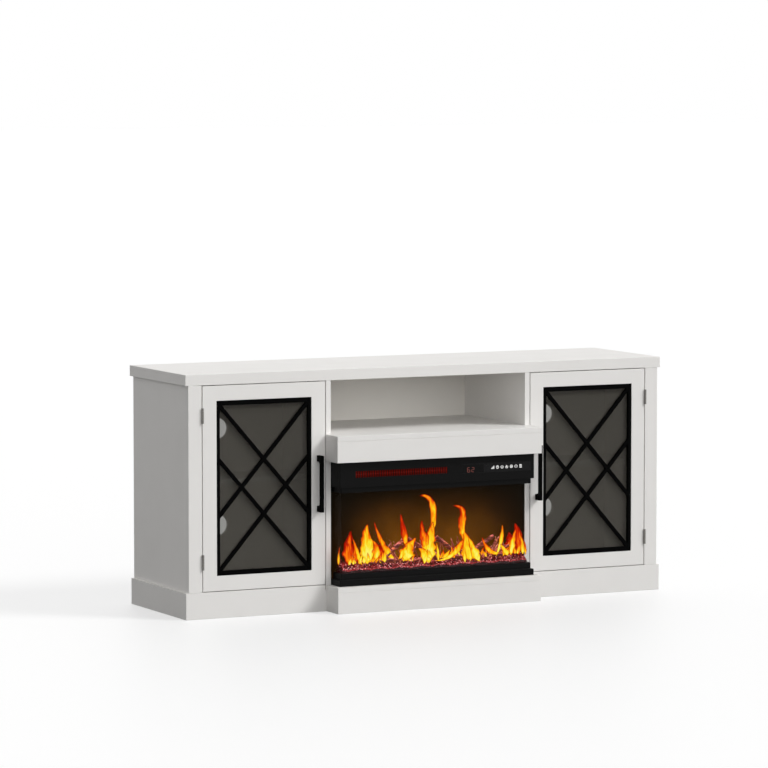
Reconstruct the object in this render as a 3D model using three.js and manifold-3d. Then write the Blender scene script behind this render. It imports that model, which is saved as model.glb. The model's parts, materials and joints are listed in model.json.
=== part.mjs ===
// Fireplace TV stand: a long low cabinet with a glazed door at each end, an open bay over a mantel in the
// middle, and an electric fireplace with glass on three sides standing on a base that steps forward.
// Millimetres, +Z up, the doors face -Y. The origin is on the floor, at the middle of the footprint.
import * as THREE from "three";
import { mergeVertices } from "three/addons/utils/BufferGeometryUtils.js";
import Module from "manifold-3d";

const wasm = await Module();
wasm.setup();

// Overall sizes
const standWidth = 1778;
const standHeight = 805;
const topDepth = 465;
const centreProjection = 88; // mantel and base, in front of the top's front edge
const seam = 0.2; // between boards that butt
const overrun = 2; // how far a cutting solid runs past the face it cuts

// Boards
const topThickness = 36;
const boardThickness = 18;
const backThickness = 12;
const shelfThickness = 16;
const plinthTrimThickness = 10;
const backOverhang = 6; // top, behind the side panels
const backPanelInset = 4; // back panel, inside the side panels' rear edges
const cableSpace = 104.5; // depth left for cables behind the compartments, to the bay's back panel
const faceSetback = 0.5; // stiles and doors, behind the top's front edge
const plinthHeight = 87.5;
const stileWidth = 48;
const bayWidth = 728; // between the dividers
const bayHeight = 179; // from the mantel to the top
const mantelHeight = 88.5; // fascia and shelf together
const baseInset = 2; // base, inside the mantel's ends
const plinthNotchWidth = 3; // where the door gap runs on down beside the divider

// Cable holes and shelves
const cableHoleDiameter = 70;
const upperCableHoleHeight = 591;
const lowerCableHoleHeight = 265;
const centreCableHoleHeight = 200;
const shelfTopHeight = 442.5;
const shelfClearance = 0.5; // at each side of a shelf
const shelfSetback = 144; // shelf, behind the doors
const shelfPinSize = 8;
const shelfPinInset = 50; // from the shelf's front and rear edges

// Doors
const doorSideGap = 3;
const doorEndGap = 2.5;
const doorRailWidth = 50;
const glassThickness = 4;
const glassRebate = 8; // how far the glass reaches behind the door frame
const glassClearance = 0.3;
const latticeDepth = 12;
const latticeRecess = 1;
const latticeStile = 12;
const latticeRail = 16;
const latticeBarWidth = 12;
const latticeBarDepth = 9;
const latticeClearance = 0.3;
const latticeCrossShare = 2 / 3; // height of the opening that one pair of crossed bars takes up

// Handles
const handleLength = 188; // the handle is half way up the door
const handleBar = 12;
const handleClearance = 20; // between the bar and the door
const handleLegHeight = 20;
const handleLegFillet = 12;
const handleEdge = 2; // small round on the bar's outer ends

// Hinges
const hingeLength = 50;
const knuckleDiameter = 7.5;
const knuckleCount = 5;
const knuckleGap = 0.3;
const knuckleStandoff = 0.25; // between the barrel and the door's face plane
const hingePinDiameter = 3;
const hingePinClearance = 0.25;
const hingeLeafThickness = 1.2;
const hingeLeafDepth = 16;
const hingeLeafGap = 0.1; // leaf to the wood it is screwed to
const hingeInset = 97.25; // middle of a hinge, from the door's top and bottom ends

// Magnetic catches
const catchWidth = 40;
const catchDepth = 14;
const catchHeight = 12;
const catchPoleWidth = 32;
const catchPoleThickness = 2;
const catchPoleGap = 4;
const catchInset = 30; // from the door's free edge
const catchClearance = 0.3;

// Fireplace insert
const insertClearance = 0.5; // to the boards around it
const insertRecess = 20; // behind the mantel's front
const insertDepth = 215;
const insertCorner = 1.5; // chamfer on the header's and sill's front corners
const headerHeight = 102.5;
const headerLipHeight = 18;
const lipInset = 8; // header lip and upper sill, inside the header's outline
const sillHeight = 42;
const sillStepHeight = 21;
const insertWall = 2; // header and sill
const caseSheet = 1.5;
const paneThickness = 4;
const paneClearance = 0.3;
const screenThickness = 3;
const screenSetback = 1; // behind the case's front edge

// Heater outlet and controls, measured along the header
const outletInset = 58; // from the header's left end
const outletLength = 340;
const outletHeight = 22;
const outletDrop = 31; // from the header's top
const outletSlotCount = 39;
const outletBarWidth = 2; // metal left between two slots
const heaterDepth = 20;
const heaterMargin = 3; // element, past the outlet above and below
const heaterPlateThickness = 2;
const heaterFinThickness = 2.5;
const heaterFinCount = 40;
const panelLength = 262;
const panelHeight = 31;
const panelThickness = 3;
const panelInset = 12; // from the header's right end
const panelDrop = 25; // from the header's top

// Blower over the firebox
const blowerDiameter = 52;
const blowerLength = 240;
const blowerShaftDiameter = 8;
const blowerBladeCount = 16;
const blowerBladeThickness = 1.5;
const blowerBladeWidth = 10;
const blowerDiscThickness = 2;
const blowerBehindCaseFront = 66;
const blowerMotorDiameter = 44;
const blowerMotorLength = 46;
const blowerMotorFootWidth = 36;
const blowerOffset = 130; // left end of the wheel, from the case's left wall

// Flame spindle behind the screen
const spindleDiameter = 8;
const spindleHeight = 60; // above the case's floor
const spindleBehindScreen = 42;
const tabLength = 26;
const tabWidth = 12;
const tabThickness = 1;
const tabCount = 20;
const tabRows = 4; // directions that the tabs point in, one after another
const spindleMotorDiameter = 40;
const spindleMotorLength = 28;

// Bearings and motor sockets
const bearingWidth = 18;
const bearingThickness = 8;
const runningGap = 0.3;
const socketDepth = 6;

// Fuel bed and logs
const bedMargin = 6; // to the panes and the case
const bedFrontHeight = 7;
const bedRearHeight = 30;
const bedRipple = 4;
const bedRipplePitch = 21;
const bedColumns = 66;
const bedRows = 6;
const logDiameter = 20;
const logLength = 125;
const logTaperShare = 0.8; // thin end against thick end
const logSink = 4; // how deep a log lies in the bed
const logSides = 9;
const logGap = 0.3;

// Cord gland on the insert's back
const glandFlangeDiameter = 24;
const glandFlangeThickness = 2;
const glandCollarDiameter = 14;
const glandBoreDiameter = 8;
const glandLength = 16;
const glandInset = 60; // from the case's right wall
const glandHeight = 45; // above the case's floor

// Roundness
const holeSides = 40;
const smallSides = 20;
const fineSides = 16;

// Heights and planes that follow
const backY = (topDepth + centreProjection) / 2;
const topFrontY = backY - topDepth;
const faceY = topFrontY + faceSetback;
const centreFrontY = topFrontY - centreProjection;
const sideBackY = backY - backOverhang;
const backPanelRearY = sideBackY - backPanelInset;
const backPanelFrontY = backPanelRearY - backThickness;
const compartmentBackY = backPanelFrontY - cableSpace;
const bodyTopZ = standHeight - topThickness;
const mantelTopZ = bodyTopZ - bayHeight;
const mantelBottomZ = mantelTopZ - mantelHeight;
const sideOuterX = standWidth / 2 - plinthTrimThickness;
const sideInnerX = sideOuterX - boardThickness;
const dividerInnerX = bayWidth / 2;
const dividerOuterX = dividerInnerX + boardThickness;
const stileInnerX = sideOuterX - stileWidth;
const compartmentX = (dividerOuterX + sideInnerX) / 2;
const baseHalfWidth = dividerOuterX - baseInset;
const deckBottomZ = plinthHeight - boardThickness;

// Finishes
function finish(color, roughness, metalness) {
  return new THREE.MeshStandardMaterial({ color, roughness, metalness });
}

const whiteLacquer = finish(0xdddcd8, 0.5, 0);
const backLacquer = finish(0xd2d1cd, 0.65, 0);
const blackSteel = finish(0x141414, 0.45, 0.6);
const blackPlastic = finish(0x101010, 0.5, 0);
const glossBlack = finish(0x0a0a0b, 0.12, 0);
const satinNickel = finish(0xb4b4b2, 0.35, 1);
const greySteel = finish(0x8f9193, 0.4, 1);
const tintedGlass = new THREE.MeshStandardMaterial({
  color: 0x2b2926,
  roughness: 0.08,
  metalness: 0,
  transparent: true,
  opacity: 0.7,
});
const clearGlass = new THREE.MeshStandardMaterial({
  color: 0xe8eeee,
  roughness: 0.03,
  metalness: 0,
  transparent: true,
  opacity: 0.25,
});
const smokedAcrylic = finish(0x1a0d08, 0.3, 0);
const emberCrystal = finish(0x7a1c14, 0.3, 0);
const charredLog = finish(0x2c1a12, 0.9, 0);

const stand = new THREE.Group();

// Shared makers
function addPiece(parent, name, material, geometry, position) {
  const mesh = new THREE.Mesh(geometry, material);
  mesh.name = name;
  if (position) mesh.position.copy(position);
  parent.add(mesh);
  return mesh;
}

// A box between two planes on each axis, about its own centre
function boxBetween(xs, ys, zs) {
  const box = new THREE.BoxGeometry(xs[1] - xs[0], ys[1] - ys[0], zs[1] - zs[0]);
  box.translate((xs[0] + xs[1]) / 2, (ys[0] + ys[1]) / 2, (zs[0] + zs[1]) / 2);
  return box;
}

// A board is a box whose mesh is placed at the board's middle
function addBoard(parent, name, material, xs, ys, zs) {
  const board = new THREE.BoxGeometry(xs[1] - xs[0], ys[1] - ys[0], zs[1] - zs[0]);
  const middle = new THREE.Vector3(xs[0] + xs[1], ys[0] + ys[1], zs[0] + zs[1]).divideScalar(2);
  return addPiece(parent, name, material, board, middle);
}

function solidOf(geometry) {
  const bare = geometry.index ? geometry.toNonIndexed() : geometry.clone();
  bare.deleteAttribute("normal");
  bare.deleteAttribute("uv");
  const merged = mergeVertices(bare);
  const vertProperties = new Float32Array(merged.attributes.position.array);
  const triVerts = new Uint32Array(merged.index.array);
  return new wasm.Manifold(new wasm.Mesh({ numProp: 3, vertProperties, triVerts }));
}

function geometryOf(solid) {
  const mesh = solid.getMesh();
  const geometry = new THREE.BufferGeometry();
  const corners = new Float32Array(mesh.vertProperties);
  geometry.setAttribute("position", new THREE.BufferAttribute(corners, mesh.numProp));
  geometry.setIndex(new THREE.BufferAttribute(new Uint32Array(mesh.triVerts), 1));
  const flat = geometry.toNonIndexed();
  flat.computeVertexNormals();
  return flat;
}

function join(...geometries) {
  return geometries.map(solidOf).reduce((sum, next) => sum.add(next));
}

function cut(solid, ...geometries) {
  return geometries.map(solidOf).reduce((rest, next) => rest.subtract(next), solid);
}

// Left is -1 and right is +1: a span given from the middle outwards, on that side
function spanOn(side, inner, outer) {
  return side < 0 ? [-outer, -inner] : [inner, outer];
}

function sideName(side) {
  return side < 0 ? "left" : "right";
}

// An outline in X and Y pushed up along Z
function extrudeUp(shape, height) {
  return new THREE.ExtrudeGeometry(shape, { depth: height, bevelEnabled: false });
}

// An outline in Y and Z pushed along X, centred on it
function extrudeAcross(shape, width) {
  const across = new THREE.ExtrudeGeometry(shape, { depth: width, bevelEnabled: false, curveSegments: 5 });
  const turn = new THREE.Matrix4().makeBasis(
    new THREE.Vector3(0, 1, 0),
    new THREE.Vector3(0, 0, 1),
    new THREE.Vector3(1, 0, 0),
  );
  across.applyMatrix4(turn);
  across.translate(-width / 2, 0, 0);
  return across;
}

// Round bars along each axis, between two ends
function rodAlongX(diameter, x0, x1, sides) {
  const rod = new THREE.CylinderGeometry(diameter / 2, diameter / 2, x1 - x0, sides);
  rod.rotateZ(-Math.PI / 2);
  rod.translate((x0 + x1) / 2, 0, 0);
  return rod;
}

function rodAlongY(diameter, y0, y1, sides) {
  const rod = new THREE.CylinderGeometry(diameter / 2, diameter / 2, y1 - y0, sides);
  rod.translate(0, (y0 + y1) / 2, 0);
  return rod;
}

function rodAlongZ(diameter, z0, z1, sides) {
  const rod = new THREE.CylinderGeometry(diameter / 2, diameter / 2, z1 - z0, sides);
  rod.rotateX(Math.PI / 2);
  rod.translate(0, 0, (z0 + z1) / 2);
  return rod;
}

// A board that is wide in front of the doors' plane and narrows to pass between the dividers
function steppedOutline(frontHalf, rearHalf, frontY, stepY, rearY) {
  const outline = new THREE.Shape();
  outline.moveTo(-frontHalf, frontY);
  outline.lineTo(frontHalf, frontY);
  outline.lineTo(frontHalf, stepY);
  outline.lineTo(rearHalf, stepY);
  outline.lineTo(rearHalf, rearY);
  outline.lineTo(-rearHalf, rearY);
  outline.lineTo(-rearHalf, stepY);
  outline.lineTo(-frontHalf, stepY);
  outline.closePath();
  return outline;
}

// Carcass boards at one end of the stand
const shelfBottomZ = shelfTopHeight - shelfThickness;
const shelfFrontY = faceY + shelfSetback;
const shelfRearY = compartmentBackY - seam;

// The four supports under a shelf are part of the panels that carry them
function withShelfPins(panel, side, faceX, into) {
  const pinX = spanOn(side, Math.min(faceX, faceX + into), Math.max(faceX, faceX + into));
  const pins = [shelfFrontY + shelfPinInset, shelfRearY - shelfPinInset].map((y) =>
    boxBetween(
      pinX,
      [y - shelfPinSize / 2, y + shelfPinSize / 2],
      [shelfBottomZ - seam - shelfPinSize, shelfBottomZ - seam],
    ),
  );
  return geometryOf(join(panel, ...pins));
}

function addCarcassSide(side) {
  const name = sideName(side);
  const sideXs = spanOn(side, sideInnerX, sideOuterX);
  const sidePanel = boxBetween(sideXs, [faceY + boardThickness + seam, sideBackY], [0, bodyTopZ - seam]);
  const sideWithPins = withShelfPins(sidePanel, side, sideInnerX, -shelfPinSize);
  addPiece(stand, `${name}_side_panel`, whiteLacquer, sideWithPins);

  const dividerXs = spanOn(side, dividerInnerX, dividerOuterX);
  const divider = boxBetween(dividerXs, [faceY, sideBackY], [0, bodyTopZ - seam]);
  const dividerWithPins = withShelfPins(divider, side, dividerOuterX, shelfPinSize);
  addPiece(stand, `${name}_divider`, whiteLacquer, dividerWithPins);

  const stileXs = spanOn(side, stileInnerX, sideOuterX);
  const stileYs = [faceY, faceY + boardThickness];
  addBoard(stand, `${name}_stile`, whiteLacquer, stileXs, stileYs, [plinthHeight + seam, bodyTopZ - seam]);

  const floorXs = spanOn(side, dividerOuterX + seam, sideInnerX - seam);
  const floorYs = [faceY + boardThickness + seam, compartmentBackY - seam];
  addBoard(stand, `${name}_floor_panel`, whiteLacquer, floorXs, floorYs, [deckBottomZ, plinthHeight]);

  const shelfXs = spanOn(side, dividerOuterX + shelfClearance, sideInnerX - shelfClearance);
  const shelfZs = [shelfBottomZ, shelfTopHeight];
  addBoard(stand, `${name}_shelf`, whiteLacquer, shelfXs, [shelfFrontY, shelfRearY], shelfZs);
}

// The plinth's front board, with the notch that carries the door gap down past the floor panel
function addPlinth(side) {
  const name = sideName(side);
  const innerX = dividerOuterX + seam;
  const outline = new THREE.Shape();
  outline.moveTo(side * innerX, 0);
  outline.lineTo((side * standWidth) / 2, 0);
  outline.lineTo((side * standWidth) / 2, plinthHeight);
  outline.lineTo(side * (innerX + plinthNotchWidth), plinthHeight);
  outline.lineTo(side * (innerX + plinthNotchWidth), deckBottomZ);
  outline.lineTo(side * innerX, deckBottomZ);
  outline.closePath();
  const front = new THREE.ExtrudeGeometry(outline, { depth: boardThickness, bevelEnabled: false });
  front.rotateX(Math.PI / 2);
  const place = new THREE.Vector3(0, faceY + boardThickness, 0);
  addPiece(stand, `${name}_plinth_front`, whiteLacquer, front, place);

  const trimXs = spanOn(side, sideOuterX + seam, standWidth / 2);
  const trimYs = [faceY + boardThickness + seam, sideBackY];
  addBoard(stand, `${name}_plinth_side`, whiteLacquer, trimXs, trimYs, [0, plinthHeight]);
}

// Back panels with their cable holes: one behind the bay and the fireplace, and one behind each compartment
function addBackPanel(name, xs, frontY, holeX, holeHeights) {
  const ys = [frontY, frontY + backThickness];
  const panel = boxBetween(xs, ys, [deckBottomZ, bodyTopZ - seam]);
  const holes = holeHeights.map((height) => {
    const hole = rodAlongY(cableHoleDiameter, ys[0] - overrun, ys[1] + overrun, holeSides);
    hole.translate(holeX, 0, height);
    return hole;
  });
  addPiece(stand, name, backLacquer, geometryOf(cut(solidOf(panel), ...holes)));
}

function addBackPanels() {
  const centreHalf = dividerInnerX - seam;
  addBackPanel("back_panel", [-centreHalf, centreHalf], backPanelFrontY, 0, [centreCableHoleHeight]);
  for (const side of [-1, 1]) {
    const xs = spanOn(side, dividerOuterX + seam, sideInnerX - seam);
    const heights = [upperCableHoleHeight, lowerCableHoleHeight];
    addBackPanel(`${sideName(side)}_back_panel`, xs, compartmentBackY, side * compartmentX, heights);
  }
}

// Mantel over the fireplace, and the base under it: a shelf or deck on a front board and two returns
function addMantel() {
  const shelfBottom = mantelTopZ - boardThickness;
  const shelf = extrudeUp(
    steppedOutline(dividerOuterX, dividerInnerX - seam, centreFrontY, faceY - seam, backPanelFrontY - seam),
    boardThickness,
  );
  addPiece(stand, "mantel_shelf", whiteLacquer, shelf, new THREE.Vector3(0, 0, shelfBottom));
  const zs = [mantelBottomZ, shelfBottom - seam];
  const fasciaRear = centreFrontY + boardThickness;
  const fasciaXs = [-dividerOuterX, dividerOuterX];
  addBoard(stand, "mantel_fascia", whiteLacquer, fasciaXs, [centreFrontY, fasciaRear], zs);
  const returnYs = [fasciaRear + seam, faceY - seam];
  for (const side of [-1, 1]) {
    const xs = spanOn(side, dividerInnerX, dividerOuterX);
    addBoard(stand, `${sideName(side)}_mantel_return`, whiteLacquer, xs, returnYs, zs);
  }
}

function addBase() {
  const deck = extrudeUp(
    steppedOutline(baseHalfWidth, dividerInnerX - seam, centreFrontY, faceY - seam, backPanelFrontY - seam),
    boardThickness,
  );
  addPiece(stand, "centre_deck", whiteLacquer, deck, new THREE.Vector3(0, 0, deckBottomZ));
  const zs = [0, deckBottomZ - seam];
  const fasciaRear = centreFrontY + boardThickness;
  const fasciaXs = [-baseHalfWidth, baseHalfWidth];
  addBoard(stand, "base_fascia", whiteLacquer, fasciaXs, [centreFrontY, fasciaRear], zs);
  const returnYs = [fasciaRear + seam, faceY - seam];
  for (const side of [-1, 1]) {
    const xs = spanOn(side, baseHalfWidth - boardThickness, baseHalfWidth);
    addBoard(stand, `${sideName(side)}_base_return`, whiteLacquer, xs, returnYs, zs);
  }
}

function addTop() {
  const half = standWidth / 2;
  addBoard(stand, "top_panel", whiteLacquer, [-half, half], [topFrontY, backY], [bodyTopZ, standHeight]);
}

// Doors. Each door's own group stands at the lower middle of its front face
const doorInnerX = dividerOuterX + doorSideGap;
const doorOuterX = stileInnerX - doorSideGap;
const doorWidth = doorOuterX - doorInnerX;
const doorBottomZ = plinthHeight + doorEndGap;
const doorHeight = bodyTopZ - doorEndGap - doorBottomZ;
const doorMiddleX = (doorInnerX + doorOuterX) / 2;
const openingWidth = doorWidth - doorRailWidth - doorRailWidth;
const openingHeight = doorHeight - doorRailWidth - doorRailWidth;
const rebateStart = latticeRecess + latticeDepth;

// A frame's hole or a pane: the door's opening grown by a margin all round
function openingBox(margin, ys) {
  const half = openingWidth / 2 + margin;
  return boxBetween([-half, half], ys, [doorRailWidth - margin, doorRailWidth + openingHeight + margin]);
}

function doorFrame() {
  const outer = boxBetween([-doorWidth / 2, doorWidth / 2], [0, boardThickness], [0, doorHeight]);
  const hole = openingBox(0, [-overrun, boardThickness + overrun]);
  const rebate = openingBox(glassRebate, [rebateStart, boardThickness + overrun]);
  return geometryOf(cut(solidOf(outer), hole, rebate));
}

// One slanting bar, from shares of the lattice's inner opening counted from its top left corner
function latticeBar(fromShare, toShare, innerWidth, innerHeight, topZ) {
  const start = new THREE.Vector2((fromShare[0] - 1 / 2) * innerWidth, topZ - fromShare[1] * innerHeight);
  const end = new THREE.Vector2((toShare[0] - 1 / 2) * innerWidth, topZ - toShare[1] * innerHeight);
  const length = start.distanceTo(end) + latticeStile;
  const bar = new THREE.BoxGeometry(length, latticeBarDepth, latticeBarWidth);
  bar.rotateY(-Math.atan2(end.y - start.y, end.x - start.x));
  bar.translate((start.x + end.x) / 2, latticeRecess + latticeBarDepth / 2, (start.y + end.y) / 2);
  return bar;
}

function lattice() {
  const ys = [latticeRecess, latticeRecess + latticeDepth - latticeClearance];
  const outer = openingBox(-latticeClearance, ys);
  const innerHalf = openingWidth / 2 - latticeStile;
  const bottomZ = doorRailWidth + latticeRail;
  const topZ = doorRailWidth + openingHeight - latticeRail;
  const hole = boxBetween([-innerHalf, innerHalf], [ys[0] - overrun, ys[1] + overrun], [bottomZ, topZ]);
  const cross = latticeCrossShare;
  const barShares = [
    [[0, 0], [1, cross]],
    [[1, 0], [0, cross]],
    [[0, 1 - cross], [1, 1]],
    [[1, 1 - cross], [0, 1]],
  ];
  const innerWidth = innerHalf + innerHalf;
  const bars = barShares.map(([from, to]) => latticeBar(from, to, innerWidth, topZ - bottomZ, topZ));
  const barsInside = join(...bars).intersect(solidOf(outer));
  return geometryOf(cut(solidOf(outer), hole).add(barsInside));
}

// A square bar on two legs, drawn from the side: Y is away from the door, Z is along the handle
function handle() {
  const half = handleLength / 2;
  const outerY = -(handleClearance + handleBar);
  const legZ = half - handleLegHeight;
  const filletZ = legZ - handleLegFillet;
  const filletY = handleLegFillet - handleClearance;
  const outline = new THREE.Shape();
  outline.moveTo(0, half);
  outline.lineTo(outerY + handleEdge, half);
  outline.quadraticCurveTo(outerY, half, outerY, half - handleEdge);
  outline.lineTo(outerY, handleEdge - half);
  outline.quadraticCurveTo(outerY, -half, outerY + handleEdge, -half);
  outline.lineTo(0, -half);
  outline.lineTo(0, -legZ);
  outline.lineTo(filletY, -legZ);
  outline.quadraticCurveTo(-handleClearance, -legZ, -handleClearance, -filletZ);
  outline.lineTo(-handleClearance, filletZ);
  outline.quadraticCurveTo(-handleClearance, legZ, filletY, legZ);
  outline.lineTo(0, legZ);
  outline.closePath();
  return extrudeAcross(outline, handleBar);
}

// Hinge leaves, drawn about the pin: X points from the stile to the door, Y points into the cabinet
const knuckleLength = hingeLength / knuckleCount;
const faceToPin = knuckleDiameter / 2 + knuckleStandoff;
const leafOuterX = doorSideGap / 2 - hingeLeafGap;

function hingeLeaf(towardDoor, side, ownKnuckles) {
  const direction = towardDoor ? 1 : -1;
  const leafXs = spanOn(-side * direction, leafOuterX - hingeLeafThickness, leafOuterX);
  const plate = boxBetween(leafXs, [faceToPin, faceToPin + hingeLeafDepth], [0, hingeLength]);
  const parts = [plate];
  for (const index of ownKnuckles) {
    const z0 = index === 0 ? 0 : index * knuckleLength + knuckleGap / 2;
    const z1 = index === knuckleCount - 1 ? hingeLength : (index + 1) * knuckleLength - knuckleGap / 2;
    parts.push(rodAlongZ(knuckleDiameter, z0, z1, smallSides));
    parts.push(boxBetween(leafXs, [0, faceToPin + overrun], [z0, z1]));
  }
  return join(...parts);
}

function frameLeaf(side) {
  const pin = rodAlongZ(hingePinDiameter, 0, hingeLength, fineSides);
  return geometryOf(hingeLeaf(false, side, [0, 2, 4]).add(solidOf(pin)));
}

function doorLeaf(side) {
  const boreDiameter = hingePinDiameter + hingePinClearance + hingePinClearance;
  const bore = rodAlongZ(boreDiameter, -overrun, hingeLength + overrun, fineSides);
  return geometryOf(cut(hingeLeaf(true, side, [1, 3]), bore));
}

function addHinges(side) {
  const name = sideName(side);
  const pinX = side * (stileInnerX - doorSideGap / 2);
  const heights = { upper: doorBottomZ + doorHeight - hingeInset, lower: doorBottomZ + hingeInset };
  for (const [level, height] of Object.entries(heights)) {
    const hinge = new THREE.Group();
    hinge.position.set(pinX, faceY - faceToPin, height - hingeLength / 2);
    addPiece(hinge, `${name}_${level}_frame_leaf`, satinNickel, frameLeaf(side));
    addPiece(hinge, `${name}_${level}_door_leaf`, satinNickel, doorLeaf(side));
    stand.add(hinge);
  }
}

function addDoor(side) {
  const name = sideName(side);
  const door = new THREE.Group();
  door.position.set(side * doorMiddleX, faceY, doorBottomZ);
  addPiece(door, `${name}_door_frame`, whiteLacquer, doorFrame());
  addPiece(door, `${name}_door_lattice`, blackSteel, lattice());
  const glassYs = [rebateStart + glassClearance, rebateStart + glassClearance + glassThickness];
  addPiece(door, `${name}_door_glass`, tintedGlass, openingBox(glassRebate - glassClearance, glassYs));
  const handleX = -side * (doorWidth - doorRailWidth) / 2;
  const handlePlace = new THREE.Vector3(handleX, -seam, doorHeight / 2);
  addPiece(door, `${name}_door_handle`, blackSteel, handle(), handlePlace);
  stand.add(door);
}

// Magnetic catch under the top, behind the door's free corner
function addCatch(side) {
  const frontY = faceY + boardThickness + catchClearance;
  const bodyXs = [-catchWidth / 2, catchWidth / 2];
  const body = boxBetween(bodyXs, [catchPoleGap, catchDepth], [-catchHeight, 0]);
  const poles = [-1, 1].map((pole) => {
    const z = -catchHeight / 2 + (pole * catchPoleGap) / 2;
    const zs = [z - catchPoleThickness / 2, z + catchPoleThickness / 2];
    return boxBetween([-catchPoleWidth / 2, catchPoleWidth / 2], [0, catchPoleGap + overrun], zs);
  });
  const place = new THREE.Vector3(side * (doorInnerX + catchInset), frontY, bodyTopZ - seam);
  const name = `${sideName(side)}_magnetic_catch`;
  addPiece(stand, name, blackPlastic, geometryOf(join(body, ...poles)), place);
}

// Fireplace insert. Planes and heights shared by its pieces
const insertHalf = dividerInnerX - insertClearance;
const insertFrontY = centreFrontY + insertRecess;
const caseFrontY = faceY + insertWall;
const caseBackY = insertFrontY + insertDepth;
const insertBottomZ = plinthHeight + seam;
const insertTopZ = mantelBottomZ - insertClearance;
const sillTopZ = insertBottomZ + sillHeight;
const headerBottomZ = insertTopZ - headerHeight;
const partitionTopZ = headerBottomZ;
const caseInnerHalf = insertHalf - caseSheet;
const caseFloorZ = insertBottomZ + caseSheet;

// Plan of the part that stands out between the mantel and the base, with chamfered front corners
function insertOutline(inset, rearY, corner) {
  const half = insertHalf - inset;
  const frontY = insertFrontY + inset;
  const outline = new THREE.Shape();
  outline.moveTo(-half, rearY);
  outline.lineTo(-half, frontY + corner);
  outline.lineTo(corner - half, frontY);
  outline.lineTo(half - corner, frontY);
  outline.lineTo(half, frontY + corner);
  outline.lineTo(half, rearY);
  outline.closePath();
  return outline;
}

function insertSlab(inset, rearY, corner, z0, z1) {
  const slab = extrudeUp(insertOutline(inset, rearY, corner), z1 - z0);
  slab.translate(0, 0, z0);
  return slab;
}

const outletXs = [outletInset - insertHalf, outletInset - insertHalf + outletLength];
const outletZs = [insertTopZ - outletDrop - outletHeight, insertTopZ - outletDrop];
const panelXs = [insertHalf - panelInset - panelLength, insertHalf - panelInset];
const panelZs = [insertTopZ - panelDrop - panelHeight, insertTopZ - panelDrop];

function addHeader() {
  const rearY = caseFrontY - paneClearance;
  const openY = rearY + overrun;
  const lipZ = headerBottomZ + headerLipHeight;
  const shell = join(
    insertSlab(0, rearY, insertCorner, lipZ, insertTopZ),
    insertSlab(lipInset, rearY, insertCorner, headerBottomZ, lipZ + insertWall),
  );
  const ledgeZ = lipZ + insertWall;
  const throughYs = [insertFrontY - overrun, insertFrontY + insertWall + overrun];
  const cutters = [
    insertSlab(insertWall, openY, insertCorner, ledgeZ, insertTopZ - insertWall),
    insertSlab(lipInset + insertWall, openY, insertCorner, headerBottomZ + insertWall, ledgeZ + overrun),
    boxBetween(panelXs, throughYs, panelZs),
  ];
  const pitch = (outletLength + outletBarWidth) / outletSlotCount;
  for (let slot = 0; slot < outletSlotCount; slot += 1) {
    const x = outletXs[0] + slot * pitch;
    cutters.push(boxBetween([x, x + pitch - outletBarWidth], throughYs, outletZs));
  }
  addPiece(stand, "fireplace_header", blackSteel, geometryOf(cut(shell, ...cutters)));
}

function addSill() {
  const rearY = caseFrontY - paneClearance;
  const stepZ = insertBottomZ + sillStepHeight;
  const shell = join(
    insertSlab(0, rearY, insertCorner, insertBottomZ, stepZ),
    insertSlab(lipInset, rearY, insertCorner, stepZ - insertWall, sillTopZ),
  );
  const hollow = insertSlab(
    lipInset + insertWall,
    rearY + overrun,
    insertCorner,
    insertBottomZ + insertWall,
    sillTopZ - insertWall,
  );
  addPiece(stand, "fireplace_sill", blackSteel, geometryOf(cut(shell, hollow)));
}

// Steel case behind the panes: open at the front, with a partition under the blower and two bearing posts
const blowerY = caseFrontY + blowerBehindCaseFront;
const blowerZ = (partitionTopZ + insertTopZ) / 2;
const blowerLeftX = blowerOffset - caseInnerHalf;
const blowerRightX = blowerLeftX + blowerLength;
const screenRearY = caseFrontY + screenSetback + screenThickness;
const spindleY = screenRearY + spindleBehindScreen;
const spindleZ = caseFloorZ + spindleHeight;

function bearingPost(x0, y, floorZ, shaftZ) {
  const ys = [y - bearingWidth / 2, y + bearingWidth / 2];
  return boxBetween([x0, x0 + bearingThickness], ys, [floorZ - caseSheet / 2, shaftZ + bearingWidth / 2]);
}

function bearingBore(x0, y, shaftZ, diameter) {
  const boreDiameter = diameter + runningGap + runningGap;
  const bore = rodAlongX(boreDiameter, x0 - overrun, x0 + bearingThickness + overrun, fineSides);
  bore.translate(0, y, shaftZ);
  return bore;
}

const blowerPostX = blowerLeftX - bearingThickness - runningGap;
const spindlePostX = bearingThickness - caseInnerHalf;

function addCase() {
  const outerXs = [-insertHalf, insertHalf];
  const outer = boxBetween(outerXs, [caseFrontY, caseBackY], [insertBottomZ, insertTopZ]);
  const innerXs = [-caseInnerHalf, caseInnerHalf];
  const innerYs = [caseFrontY - overrun, caseBackY - caseSheet];
  const firebox = boxBetween(innerXs, innerYs, [caseFloorZ, partitionTopZ - caseSheet]);
  const plenum = boxBetween(innerXs, innerYs, [partitionTopZ, insertTopZ - caseSheet]);
  const posts = join(
    bearingPost(blowerPostX, blowerY, partitionTopZ, blowerZ),
    bearingPost(spindlePostX, spindleY, caseFloorZ, spindleZ),
  );
  const shell = cut(solidOf(outer), firebox, plenum).add(posts);
  const bores = [
    bearingBore(blowerPostX, blowerY, blowerZ, blowerShaftDiameter),
    bearingBore(spindlePostX, spindleY, spindleZ, spindleDiameter),
  ];
  addPiece(stand, "fireplace_case", blackSteel, geometryOf(cut(shell, ...bores)));
}

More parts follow.
